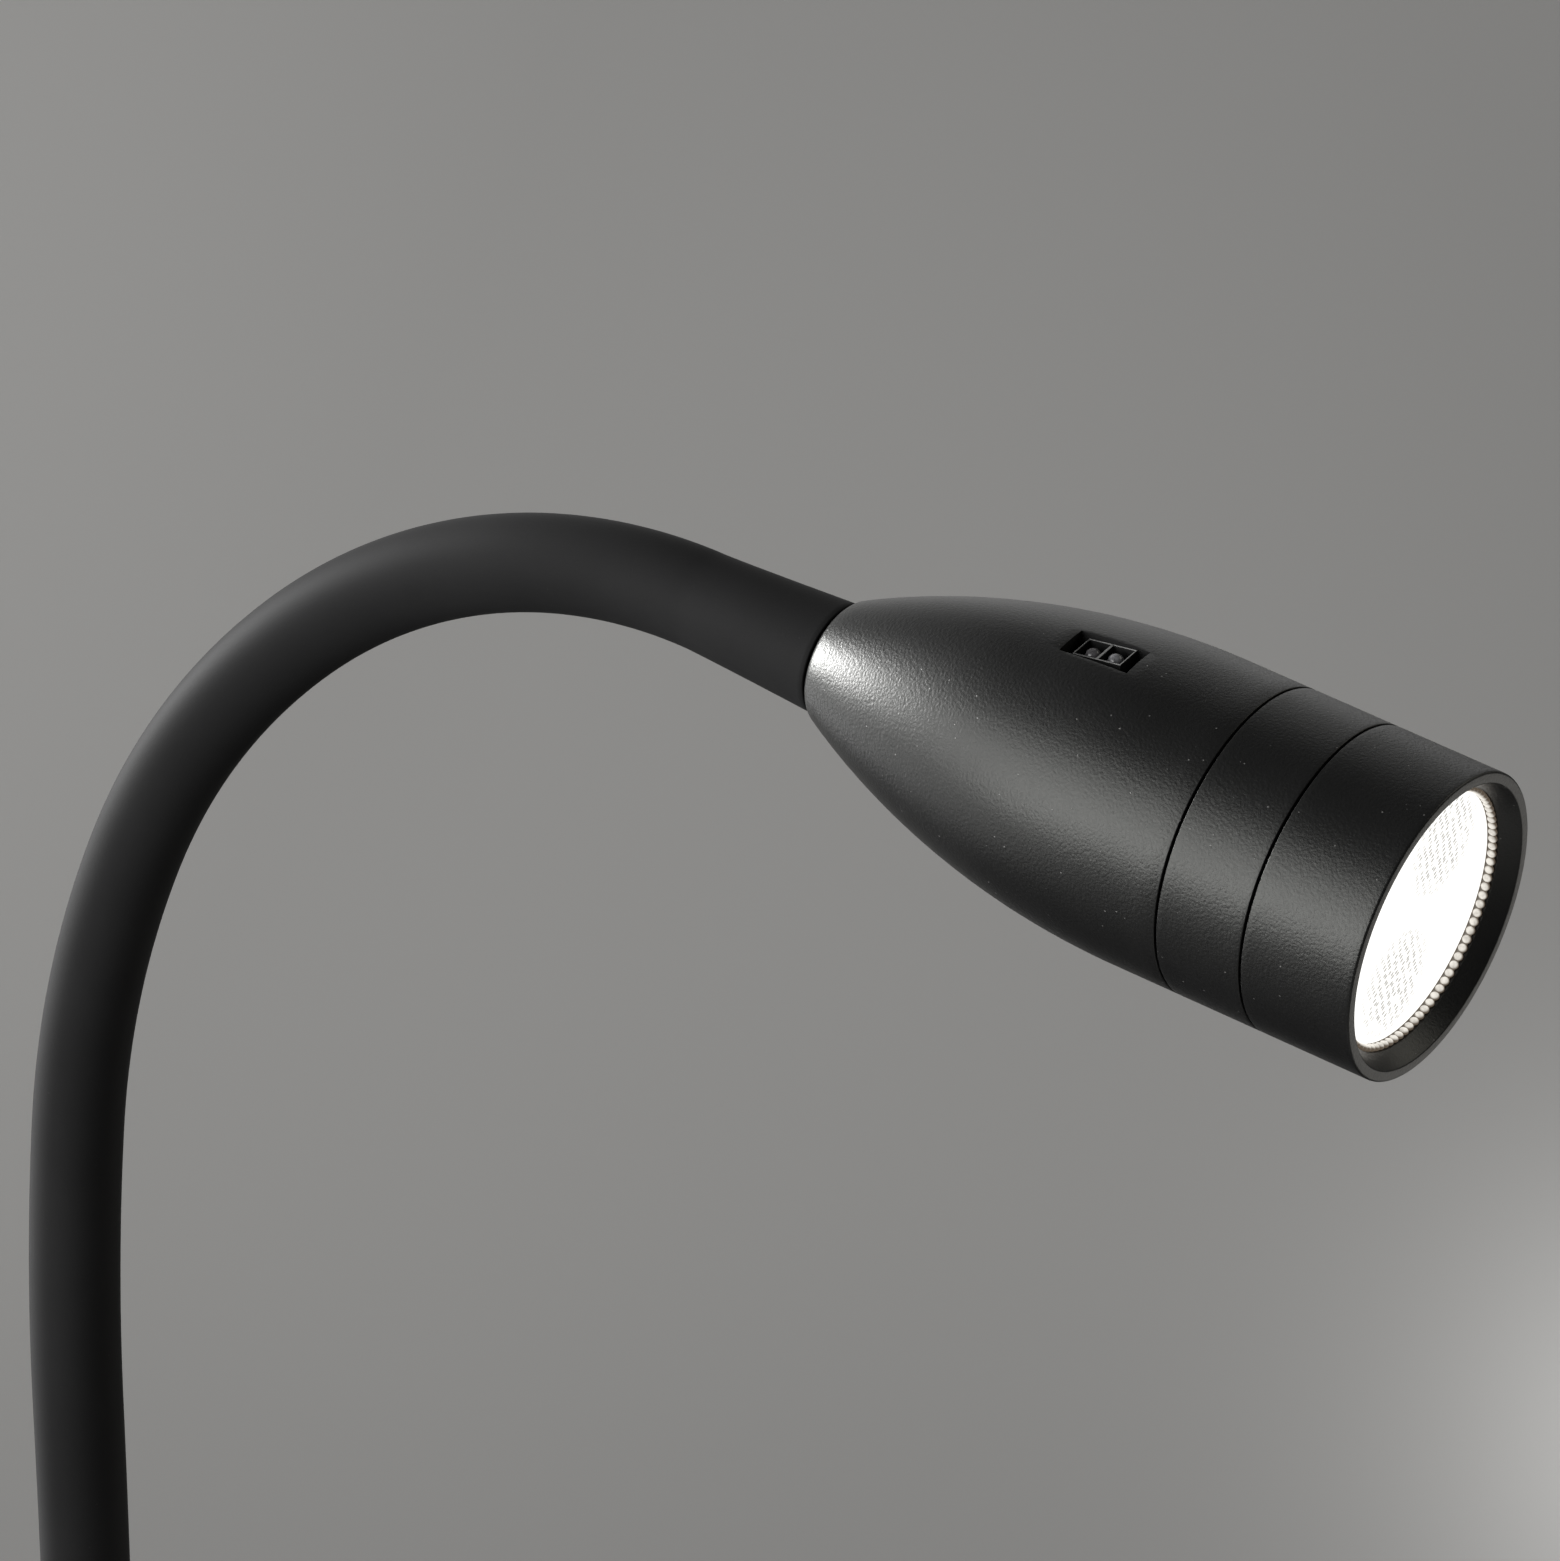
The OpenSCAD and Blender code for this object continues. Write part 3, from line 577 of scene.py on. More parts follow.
# Finish of each slot in the record
SLOT_FINISHES: dict[str, Finish] = {
    "satin_black": BLACK_COAT,
    "sleeve_rubber": SLEEVE,
    "core_steel": BareMetal("core_steel", (0.42, 0.42, 0.43), 0.36, Grain.TURNED),
    "lead_jacket": Moulded("lead_jacket", (0.03, 0.03, 0.032), 0.5),
    "plate_steel": BareMetal("plate_steel", (0.62, 0.63, 0.65), 0.38, Grain.BRUSHED),
    "dark_screw": BareMetal("dark_screw", (0.06, 0.06, 0.065), 0.36, Grain.TURNED),
    "brass_nut": BareMetal("brass_nut", (0.72, 0.55, 0.26), 0.3, Grain.TURNED),
    "ferrule_metal": BareMetal("ferrule_metal", (0.7, 0.71, 0.72), 0.33, Grain.TURNED),
    "white_plastic": Moulded("white_plastic", (0.78, 0.78, 0.76), 0.45),
    "board_green": Circuit("board_green", (0.02, 0.16, 0.06), 0.35),
    "wire_red": Moulded("wire_red", (0.5, 0.04, 0.035), 0.42),
    "pad_grey": Moulded("pad_grey", (0.35, 0.36, 0.38), 0.8),
    "board_white": Circuit("board_white", (0.75, 0.75, 0.73), 0.3, (0.6, 0.5, 0.3)),
    "phosphor": Moulded("phosphor", (0.85, 0.66, 0.12), 0.5),
    "small_screw": BareMetal("small_screw", (0.6, 0.6, 0.62), 0.32, Grain.TURNED),
    "black_plastic": Moulded("black_plastic", (0.035, 0.035, 0.036), 0.42),
    "lens_clear": LitLens("lens_clear", (1.0, 0.985, 0.95), 0.25),
    "seal_black": Moulded("seal_black", (0.02, 0.02, 0.02), 0.6),
    "dome_clear": Dome("dome_clear", (0.20, 0.20, 0.21), 0.22),
    "dome_dark": Dome("dome_dark", (0.13, 0.125, 0.13), 0.22),
}
LENS_BEADS = LitBeads("lens_beads", (1.0, 0.955, 0.87), 0.3)
SWITCH_CELLS = CellBlock("switch_cells", (0.006, 0.006, 0.006), 0.7)
# Painted shade: the switch window's walls get a darker, matter black than the coat.
RECESS_PAINTED_SHADE = CellBlock("recess_painted_shade", (0.004, 0.004, 0.004), 0.85)
FLOOR_PAPER = Backing("floor_paper", (0.72, 0.71, 0.70), 0.9)
BACK_PAPER = Backing("back_paper", (0.42, 0.415, 0.405), 0.9)


class PaintBox:
    """Makes each material once and hands it out."""

    def __init__(self) -> None:
        """Starts with no materials."""
        self._made: dict[str, bpy.types.Material] = {}

    def get(self, finish: Finish) -> bpy.types.Material:
        """Hands out the material of a finish.

        Args:
            finish: The finish.

        Returns:
            Its material.
        """
        if finish.name not in self._made:
            self._made[finish.name] = finish.paint()
        return self._made[finish.name]

    def slot(self, name: str) -> bpy.types.Material:
        """The material of a slot in the record."""
        return self.get(SLOT_FINISHES[name])


@dataclass(frozen=True)
class ArmPath:
    """Centre line of the arm: circular stretches from the collar to the head.

    Attributes:
        start: Distance of the first stretch from the wall.
        link: Length of a stretch; the first and last are half as long.
        flare: Straight length after the last stretch.
        bends: Turn of each stretch in degrees.
        rolls: Direction of each turn in degrees.
    """

    start: float = 42 * MM
    link: float = 45 * MM
    flare: float = 21 * MM
    bends: tuple[float, ...] = (14.5, 25.5, 18.0, 8.5, 5.0, 17.5, 28.0, 33.5, 16.0)
    rolls: tuple[float, ...] = (176.0, 177.0, 179.0, 191.0, 85.0, 67.0, 62.0, 51.0, 46.0)

    @property
    def last(self) -> int:
        """Number of the last stretch."""
        return len(self.bends) - 1

    def length(self, i: int) -> float:
        """Length of stretch i."""
        return self.link / 2 if i in (0, self.last) else self.link

    def radius(self, i: int) -> float:
        """Radius of stretch i."""
        return self.length(i) / math.radians(self.bends[i])

    def _step(self, i: int, share: float) -> Matrix:
        """Move along a stretch.

        Args:
            i: Number of the stretch.
            share: Share of it that is passed, from 0 to 1.

        Returns:
            The move, in the frame at its start.
        """
        roll = Matrix.Rotation(math.radians(self.rolls[i]), 4, "Z")
        out = Matrix.Translation((0.0, -self.radius(i), 0.0))
        bend = Matrix.Rotation(math.radians(self.bends[i]) * share, 4, "X")
        return roll @ out @ bend @ out.inverted() @ roll.inverted()

    def frame(self, i: int, share: float = 0.0) -> Matrix:
        """Frame on the centre line, with Z along the arm.

        Args:
            i: Number of the stretch.
            share: Share of it that is passed, from 0 to 1.

        Returns:
            The frame, in the light's coordinates.
        """
        made = Matrix.Translation((0.0, -self.start, 0.0)) @ Matrix.Rotation(math.pi / 2, 4, "X")
        for k in range(i):
            made = made @ self._step(k, 1.0)
        return made @ self._step(i, share)

    def pivot(self, i: int) -> tuple[Vector, Vector]:
        """What a stretch turns about.

        Args:
            i: Number of the stretch.

        Returns:
            Its centre and its axis.
        """
        frame = self.frame(i) @ Matrix.Rotation(math.radians(self.rolls[i]), 4, "Z")
        centre = frame @ Vector((0.0, -self.radius(i), 0.0))
        return centre, frame.to_3x3() @ Vector((1.0, 0.0, 0.0))

    def neck(self) -> Matrix:
        """Frame at the head's neck."""
        return self.frame(self.last, 1.0) @ Matrix.Translation((0.0, 0.0, self.flare))


def keep_piece(
    mesh: bmesh.types.BMesh, name: str, looks: Sequence[bpy.types.Material], crease: float = 25.0
) -> bpy.types.Object:
    """Turns a finished bmesh into a smooth-shaded object of the scene.

    Args:
        mesh: The shape; it is freed.
        name: Name of the object.
        looks: Its materials.
        crease: Edges that turn by more than this many degrees stay sharp.

    Returns:
        The object.
    """
    bmesh.ops.recalc_face_normals(mesh, faces=mesh.faces[:])
    data = bpy.data.meshes.new(name)
    mesh.to_mesh(data)
    mesh.free()
    data.shade_smooth()
    data.set_sharp_from_angle(angle=math.radians(crease))
    for look in looks:
        data.materials.append(look)
    made = bpy.data.objects.new(name, data)
    bpy.context.scene.collection.objects.link(made)
    return made


@dataclass
class Section:
    """Half section of a turned piece, as points (radius, height) in millimetres.

    Attributes:
        points: Corners in order.
        rounds: Rounding of some corners, by their number.
        ring: True if the section is closed and doesn't touch the axis.
    """

    points: Sequence[Point]
    rounds: dict[int, float] = field(default_factory=dict)
    ring: bool = True

    def draw(self, mesh: bmesh.types.BMesh, turn: float = 0.0) -> list[bmesh.types.BMEdge]:
        """Draws the section with its corners rounded.

        Args:
            mesh: Where it is drawn.
            turn: Angle of the section's plane about the axis.

        Returns:
            The edges drawn.
        """
        place = Matrix.Rotation(turn, 3, "Z")
        spots = [mesh.verts.new(place @ Vector((r * MM, 0.0, z * MM))) for r, z in self.points]
        pairs = list(zip(spots, spots[1:])) + ([(spots[-1], spots[0])] if self.ring else [])
        for pair in pairs:
            mesh.edges.new(pair)
        for size in sorted(set(self.rounds.values())):
            corners = [spots[k] for k, radius in self.rounds.items() if radius == size]
            bmesh.ops.bevel(
                mesh, geom=corners, offset=size * MM, offset_type="OFFSET", segments=5, profile=0.5,
                affect="VERTICES", material=-1,
            )
        return mesh.edges[:]

    def turned(self, steps: int = 192) -> bmesh.types.BMesh:
        """Turns the section about Z.

        Args:
            steps: Steps of the full turn.

        Returns:
            The piece.
        """
        mesh = bmesh.new()
        edges = self.draw(mesh)
        bmesh.ops.spin(
            mesh, geom=mesh.verts[:] + edges, cent=(0, 0, 0), axis=(0, 0, 1), angle=math.tau, steps=steps,
            use_merge=True, use_duplicate=False,
        )
        bmesh.ops.remove_doubles(mesh, verts=mesh.verts[:], dist=WELD)
        bmesh.ops.recalc_face_normals(mesh, faces=mesh.faces[:])
        return mesh


def put(mesh: bmesh.types.BMesh, place: Matrix) -> bmesh.types.BMesh:
    """Moves a whole bmesh to its place."""
    bmesh.ops.transform(mesh, matrix=place, verts=mesh.verts[:])
    return mesh


@dataclass
class WallSide:
    """Canopy of the wall side.

    Attributes:
        radius: Radius of the canopy in millimetres.
        depth: Depth off the wall.
        wall: Wall thickness.
        edge: Radius of the front edge.
        rim: Gap at the wall.
        hole: Radius of the hole for the collar.
        back_round: Rounding of the edge at the wall.
        steps: Steps of the turned canopy.
    """

    radius: float = 43.98
    depth: float = 28.0
    wall: float = 1.8
    edge: float = 5.0
    rim: float = 0.4
    hole: float = 5.15
    back_round: float = 0.4
    steps: int = 224

    def build(self, paints: PaintBox) -> list[bpy.types.Object]:
        """Makes the canopy.

        Args:
            paints: The materials.

        Returns:
            The pieces made.
        """
        inner, floor = self.radius - self.wall, self.depth - self.wall
        section = Section(
            [(inner, self.rim), (self.radius, self.rim), (self.radius, self.depth), (self.hole, self.depth),
             (self.hole, floor), (inner, floor)],
            {1: self.back_round, 2: self.edge, 5: self.edge - self.wall},
        )
        shell = put(section.turned(self.steps), Matrix.Rotation(math.pi / 2, 4, "X"))
        canopy = keep_piece(shell, "canopy_cover", [paints.slot("satin_black")])
        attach(canopy, Body.WALL.value)
        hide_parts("canopy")
        return [canopy]


@dataclass
class Sleeve:
    """Rubber sleeve of the arm, in pieces that each reach over one hinge.

    Attributes:
        path: Centre line of the arm.
        radius: Outside radius in millimetres.
        wall: Wall thickness.
        socket: Depth of the sleeve's start behind the first stretch.
        flare_radius: Outside radius at the head.
        flare_rings: Rings of vertices in the flare.
        flare_power: How late the flare opens.
        lip: Rounding of the end: distances from it, each with the loss of radius.
        gap: Distance of the end from the neck.
        ring_gap: Distance between rings of vertices.
        reach: Half length of the zone round a hinge; the ends of that zone are worked out but not used.
        sides: Vertices in a ring.
    """

    path: ArmPath
    radius: float = 6.5
    wall: float = 1.6
    socket: float = 7.9
    flare_radius: float = 7.5
    flare_rings: int = 24
    flare_power: float = 1.15
    lip: tuple[Point, ...] = ((0.25, 0.005), (0.1, 0.06), (0.02, 0.15), (0.0, 0.25))
    gap: float = 0.28
    ring_gap: float = 0.9
    reach: float = 21.0
    sides: int = 72

    def build(self, paints: PaintBox) -> list[bpy.types.Object]:
        """Makes the pieces, one for each hinge.

        Args:
            paints: The materials.

        Returns:
            The pieces made.
        """
        bodies = [b.value for b in Body]
        made = []
        for k in range(1, len(bodies)):
            piece = keep_piece(self._piece(k), f"sleeve_piece_{k}", [paints.slot("sleeve_rubber")])
            hinge = self.path.frame(k)
            along = hinge.to_3x3() @ Vector((0.0, 0.0, self.reach * MM))
            hinge.translation - along
            hinge.translation + along
            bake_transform(piece)
            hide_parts(*self._nodes(k))
            made.append(piece)
        return made

    def _nodes(self, k: int) -> list[str]:
        """Names what a piece stands for.

        Args:
            k: Number of the piece.

        Returns:
            The CAD nodes.
        """
        if k == 1:
            return ["sleeve_base"]
        if k == self.path.last:
            return [f"sleeve_{k - 1}", "sleeve_head", "sleeve_flare"]
        return [f"sleeve_{k - 1}"]

    def _piece(self, k: int) -> bmesh.types.BMesh:
        """Shapes a piece, from the middle of one stretch to the middle of the next.

        Args:
            k: Number of the piece.

        Returns:
            The piece.
        """
        mesh = bmesh.new()
        first = 0.0 if k == 1 else 0.5
        start = self.path.frame(k - 1, first)
        if k == 1:
            start = start @ Matrix.Translation((0.0, 0.0, -self.socket * MM))
        bmesh.ops.create_circle(
            mesh, cap_ends=False, radius=self.radius * MM, segments=self.sides, matrix=start
        )
        ring = mesh.edges[:]
        if k == 1:
            ring = self._onward(mesh, ring, start, self.socket, self.radius, self.radius)
        ring = self._round(mesh, ring, k - 1, 1.0 - first)
        if k < self.path.last:
            self._round(mesh, ring, k, 0.5)
        else:
            ring = self._round(mesh, ring, k, 1.0)
            self._flare(mesh, ring)
        bmesh.ops.recalc_face_normals(mesh, faces=mesh.faces[:])
        bmesh.ops.solidify(mesh, geom=mesh.faces[:], thickness=self.wall * MM)
        return mesh

    def _round(
        self, mesh: bmesh.types.BMesh, ring: list[bmesh.types.BMEdge], i: int, share: float
    ) -> list[bmesh.types.BMEdge]:
        """Spins a ring along a stretch.

        Args:
            mesh: The piece.
            ring: Ring of edges to start from.
            i: Number of the stretch.
            share: Share of it to spin along.

        Returns:
            The ring at the end.
        """
        centre, axis = self.path.pivot(i)
        steps = max(4, round(self.path.length(i) * share / MM / self.ring_gap))
        verts = list(dict.fromkeys(v for e in ring for v in e.verts))
        spun = bmesh.ops.spin(
            mesh, geom=verts + ring, cent=centre, axis=axis,
            angle=math.radians(self.path.bends[i]) * share, steps=steps, use_merge=False, use_duplicate=False,
        )
        return [g for g in spun["geom_last"] if isinstance(g, bmesh.types.BMEdge)]

    def _onward(
        self, mesh: bmesh.types.BMesh, ring: list[bmesh.types.BMEdge], frame: Matrix, length: float,
        before: float, after: float,
    ) -> list[bmesh.types.BMEdge]:
        """Extrudes a ring straight on, scaling it from one radius to another.

        Args:
            mesh: The piece.
            ring: Ring of edges to start from.
            frame: Frame of that ring, with Z onward.
            length: Length in millimetres.
            before: Radius of the ring.
            after: Radius at the end.

        Returns:
            The ring at the end.
        """
        grown = bmesh.ops.extrude_edge_only(mesh, edges=ring)["geom"]
        verts = [g for g in grown if isinstance(g, bmesh.types.BMVert)]
        step = frame.to_3x3() @ Vector((0.0, 0.0, length * MM))
        bmesh.ops.translate(mesh, vec=step, verts=verts)
        share = after / before
        centre = Matrix.Translation(-(frame.translation + step))
        bmesh.ops.scale(mesh, vec=(share, share, share), space=centre, verts=verts)
        edges = [g for g in grown if isinstance(g, bmesh.types.BMEdge)]
        return [e for e in edges if all(v in set(verts) for v in e.verts)]

    def _flare(self, mesh: bmesh.types.BMesh, ring: list[bmesh.types.BMEdge]) -> None:
        """Adds the flared end with its rounded lip.

        Args:
            mesh: The last piece.
            ring: Ring of edges that it ends in so far.
        """
        frame = self.path.frame(self.path.last, 1.0)
        total = self.path.flare / MM - self.gap
        grow = self.flare_radius - self.radius
        rings = self.flare_rings
        stops = [
            (total * i / rings, self.radius + grow * (i / rings) ** self.flare_power) for i in range(1, rings)
        ]
        stops += [(total - back, self.flare_radius - loss) for back, loss in self.lip]
        at, radius = 0.0, self.radius
        for height, size in stops:
            here = frame @ Matrix.Translation((0.0, 0.0, at * MM))
            ring = self._onward(mesh, ring, here, height - at, radius, size)
            at, radius = height, size


def keep_on_head(
    mesh: bmesh.types.BMesh, name: str, looks: Sequence[bpy.types.Material], nodes: Sequence[str]
) -> bpy.types.Object:
    """Keeps one piece on the head's body.

    Args:
        mesh: The shape.
        name: Name of the piece.
        looks: Its materials.
        nodes: CAD nodes that it stands for.

    Returns:
        The object.
    """
    piece = keep_piece(mesh, name, looks)
    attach(piece, Body.HEAD.value)
    if nodes:
        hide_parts(*nodes)
    return piece


@dataclass
class Head:
    """Bullet-shaped head: shell with its window, two rings, lens and beads.

    Attributes:
        place: Frame at the neck, with Z to the front.
        length: Length of the head in millimetres.
        neck_radius: Radius at the neck.
        body_radius: Largest radius.
        front_radius: Radius of the front rim.
        swell_at: Height of the largest radius.
        wall: Wall of the shell.
        shell_rows: Heights of the shell's rings of vertices away from the window.
        row_gap: Least distance of these from the window.
        window_rows: Rows of faces along the window.
        shell_steps: Steps of the shell's turn outside and inside the window.
        bore: Radius of the hole in the neck.
        boss: Length of the neck's boss.
        neck_round: Rounding of the neck's edge.
        seam_back: Height of the first groove.
        seam_front: Height of the second groove.
        groove: Width of the grooves.
        edge: Rounding of the edges at the grooves.
        spigot_gap: Depth of the grooves below the surface.
        spigot: Length of the middle ring's spigots.
        ring_bore: Inside radius of the middle ring.
        web: Heights of both sides of its web above the first groove.
        pocket_radius: Inside radius of the front ring over the lens.
        pocket_floor: Height of that pocket's floor above the second groove.
        rim: Width of the flat front rim.
        rim_rounds: Rounding of the rim's outer and inner edge and of the lip over the lens.
        lens_corners: Corners of the lens up to its rim: radius, and height from the rim.
        lens_rounds: Rounding of the lens's rim outside and inside.
        lens_taper: How much the wall inside the rim leans outward.
        lens_height: Height of the lens's rim.
        lens_sink: Depth of the lens's face below its rim.
        lens_radius: Radius of the lens that shows.
        lip_height: Height of the lip over the lens.
        window_turn: Direction of the switch window in degrees.
        window_height: Height of the window's middle.
        window_size: Length and width of the window.
        window_edge: Bevel of the window's outer edge.
        bead_count: Number of beads round the lens.
        bead_size: Half sizes of a bead outward, round the lens and to the front.
        bead_ring: Radius of the ring of beads.
    """

    place: Matrix
    length: float = 89.0
    neck_radius: float = 8.0
    body_radius: float = 20.3
    front_radius: float = 20.0
    swell_at: float = 51.4
    wall: float = 1.8
    shell_rows: range = range(3, 61, 2)
    row_gap: float = 0.7
    window_rows: int = 6
    shell_steps: tuple[int, int] = (204, 10)
    bore: float = 5.1
    boss: float = 7.0
    neck_round: float = 1.3
    seam_back: float = 61.8
    seam_front: float = 73.8
    groove: float = 0.35
    edge: float = 0.12
    spigot_gap: float = 1.9
    spigot: float = 5.0
    ring_bore: float = 16.8
    web: Point = (2.2, 5.2)
    pocket_radius: float = 17.75
    pocket_floor: float = 5.3
    rim: float = 1.45
    rim_rounds: Triple = (0.3, 0.15, 0.1)
    lens_corners: tuple[Point, ...] = (
        (0.0, -9.8), (4.2, -9.8), (5.2, -14.8), (6.5, -14.8), (15.5, -2.3), (17.35, -2.3), (17.35, 0.0),
    )
    lens_rounds: Point = (0.08, 0.04)
    lens_taper: float = 0.05
    lens_height: float = 86.2
    lens_sink: float = 0.85
    lens_radius: float = 17.05
    lip_height: float = 86.6
    window_turn: float = 165.5
    window_height: float = 40.1
    window_size: Point = (9.9, 4.9)
    window_edge: float = 0.07
    bead_count: int = 90
    bead_size: Triple = (0.44, 0.58, 0.62)
    bead_ring: float = 16.75

    def build(self, paints: PaintBox) -> list[bpy.types.Object]:
        """Makes the pieces of the head.

        Args:
            paints: The materials.

        Returns:
            The pieces made.
        """
        black = [paints.slot("satin_black")]
        shell_looks = black + [paints.get(RECESS_PAINTED_SHADE)]
        shell = put(self._shell(), self.window_place)
        middle, front = (put(ring.turned(), self.place) for ring in (self._middle(), self._front()))
        return [
            keep_on_head(shell, "shell", shell_looks, ["head_shell"]),
            keep_on_head(middle, "middle_ring", black, ["mid_ring"]),
            keep_on_head(front, "rim_ring", black, ["front_ring"]),
            keep_on_head(self._lens(), "lens_face", [paints.slot("lens_clear")], ["lens"]),
            keep_on_head(self._beads(), "lens_beads", [paints.get(LENS_BEADS)], []),
        ]

    @property
    def window_place(self) -> Matrix:
        """Frame at the neck, with X towards the window."""
        return self.place @ Matrix.Rotation(math.radians(self.window_turn), 4, "Z")

    def outline(self, z: float) -> float:
        """Outside radius of the head.

        Args:
            z: Height above the neck.

        Returns:
            The radius there.
        """
        if z < self.swell_at:
            drop = self.body_radius - self.neck_radius
            curve = (self.swell_at**2 + drop**2) / (2 * drop)
            return self.body_radius - curve + math.sqrt(curve**2 - (self.swell_at - z) ** 2)
        share = (z - self.swell_at) / (self.length - self.swell_at)
        return self.body_radius + (self.front_radius - self.body_radius) * share

    def _shell(self) -> bmesh.types.BMesh:
        """Shapes the rear shell, turned in two sweeps so that grid lines lie on the window's edges.

        Returns:
            The shell, with the window's direction along X.
        """
        half_length, half_width = self.window_size[0] / 2, self.window_size[1] / 2
        low, high = self.window_height - half_length, self.window_height + half_length
        top = self.seam_back - self.groove / 2
        rows, gap = self.window_rows, self.row_gap
        across = {low + (high - low) * k / rows for k in range(1, rows)}
        away = {h for h in self.shell_rows if not low - gap < h < high + gap}
        heights = sorted({low, high, top} | across | away)
        inside = [h for h in heights if h > self.boss]
        points = [(self.bore, 0.0), (self.outline(0.0), 0.0)]
        points += [(self.outline(h), h) for h in heights]
        points += [(self.outline(h) - self.wall, h) for h in reversed(inside)]
        points += [(self.outline(self.boss) - self.wall, self.boss), (self.bore, self.boss)]
        half = math.asin(half_width / self.outline(self.window_height))
        mesh = bmesh.new()
        edges = Section(points, {1: self.neck_round, 1 + len(heights): self.edge}).draw(mesh, half)
        ends: list[bmesh.types.BMElem] = mesh.verts[:] + edges
        for angle, steps in zip((math.tau - 2 * half, 2 * half), self.shell_steps):
            ends = bmesh.ops.spin(
                mesh, geom=ends, cent=(0, 0, 0), axis=(0, 0, 1), angle=angle, steps=steps, use_merge=False,
                use_duplicate=False,
            )["geom_last"]
        bmesh.ops.remove_doubles(mesh, verts=mesh.verts[:], dist=WELD)
        self._cut_window(mesh, half, low * MM, high * MM)
        return mesh

    def _cut_window(self, mesh: bmesh.types.BMesh, half: float, low: float, high: float) -> None:
        """Opens the switch window in the shell.

        Args:
            mesh: The shell, with the window's direction along X.
            half: Half the angle that the window takes.
            low: Height of its lower edge in metres.
            high: Height of its upper edge.
        """
        gone = []
        for face in mesh.faces:
            spot = face.calc_center_median()
            if low < spot.z < high and abs(math.atan2(spot.y, spot.x)) < half:
                gone.append(face)
        bmesh.ops.delete(mesh, geom=gone, context="FACES")
        loops = [e for e in mesh.edges if e.is_boundary]
        outer = []
        for edge in loops:
            spot = (edge.verts[0].co + edge.verts[1].co) / 2
            if math.hypot(spot.x, spot.y) / MM > self.outline(spot.z / MM) - self.wall / 2:
                outer.append(edge)
        # The window's walls take the second material, a darker black: painted shade in the recess.
        for wall in bmesh.ops.bridge_loops(mesh, edges=loops)["faces"]:
            wall.material_index = 1
        bmesh.ops.bevel(
            mesh, geom=outer, offset=self.window_edge * MM, offset_type="OFFSET", segments=2, profile=0.5,
            affect="EDGES", material=-1,
        )

    def _middle(self) -> Section:
        """Draws the middle ring with its spigots and its web.

        Returns:
            Its half section.
        """
        low, high = self.seam_back + self.groove / 2, self.seam_front - self.groove / 2
        back, front = (self.outline(z) - self.spigot_gap for z in (self.seam_back, self.seam_front))
        bore, tail, tip = self.ring_bore, self.seam_back - self.spigot, high + self.spigot
        web = [self.seam_back + height for height in self.web]
        side = self._side(low, high)
        return Section(
            [(0.0, web[0]), (bore, web[0]), (bore, tail), (back, tail), (back, low), *side,
             (front, high), (front, tip), (bore, tip), (bore, web[1]), (0.0, web[1])],
            {5: self.edge, 4 + len(side): self.edge}, ring=False,
        )

    def _side(self, low: float, high: float) -> list[Point]:
        """Points of the outline between two heights, close together near both ends."""
        stops = (0.0, 0.06, 0.12, 0.25, 0.5, 0.75, 0.88, 0.94, 1.0)
        return [(self.outline(low + (high - low) * k), low + (high - low) * k) for k in stops]

    def _front(self) -> Section:
        """Draws the front ring with its rim and the bevel down to the lens.

        Returns:
            Its half section.
        """
        low = self.seam_front + self.groove / 2
        socket, pocket = self.outline(self.seam_front) - self.wall, self.pocket_radius
        floor = self.seam_front + self.pocket_floor
        side = self._side(low, self.length)
        end = len(side)
        return Section(
            [(socket, low), *side, (self.front_radius - self.rim, self.length),
             (self.lens_radius, self.lip_height), (pocket, self.lip_height), (pocket, floor),
             (socket, floor)],
            {1: self.edge, **{end + k: size for k, size in enumerate(self.rim_rounds)}},
        )

    def _lens(self) -> bmesh.types.BMesh:
        """Shapes the lens with its cone, its rim and its sunk face.

        Returns:
            The lens, whose own coordinates are in metres on its face.
        """
        top, face, wall = self.lens_height, self.lens_height - self.lens_sink, self.bead_ring
        corners = [(r, top + z) for r, z in self.lens_corners]
        rim = len(corners) - 1
        section = Section(
            [*corners, (wall + self.lens_taper, top), (wall, face), (0.0, face)],
            {rim + k: size for k, size in enumerate(self.lens_rounds)}, ring=False,
        )
        mesh = section.turned(160)
        layer = mesh.loops.layers.uv.new("face")
        for loop in (loop for part in mesh.faces for loop in part.loops):
            loop[layer].uv = loop.vert.co.x, loop.vert.co.y
        return put(mesh, self.place)

    def _beads(self) -> bmesh.types.BMesh:
        """Shapes the ring of beads on the lens's face.

        Returns:
            The beads, whose attribute crown is 1 where a bead points to the axis and 0 at its foot.
        """
        mesh = bmesh.new()
        bmesh.ops.create_uvsphere(mesh, u_segments=12, v_segments=8, radius=1.0)
        crown = mesh.verts.layers.float.new("crown")
        for vert in mesh.verts:
            vert[crown] = max(0.0, -vert.co.x)
        size = Matrix.Diagonal((*(s * MM for s in self.bead_size), 1.0))
        height = self.lens_height - self.lens_sink + self.bead_size[2]
        put(mesh, Matrix.Translation((self.bead_ring * MM, 0.0, height * MM)) @ size)
        bmesh.ops.spin(
            mesh, geom=mesh.verts[:] + mesh.edges[:] + mesh.faces[:], cent=(0, 0, 0), axis=(0, 0, 1),
            angle=math.tau * (1 - 1 / self.bead_count), steps=self.bead_count - 1, use_merge=False,
            use_duplicate=True,
        )
        return put(mesh, self.place)


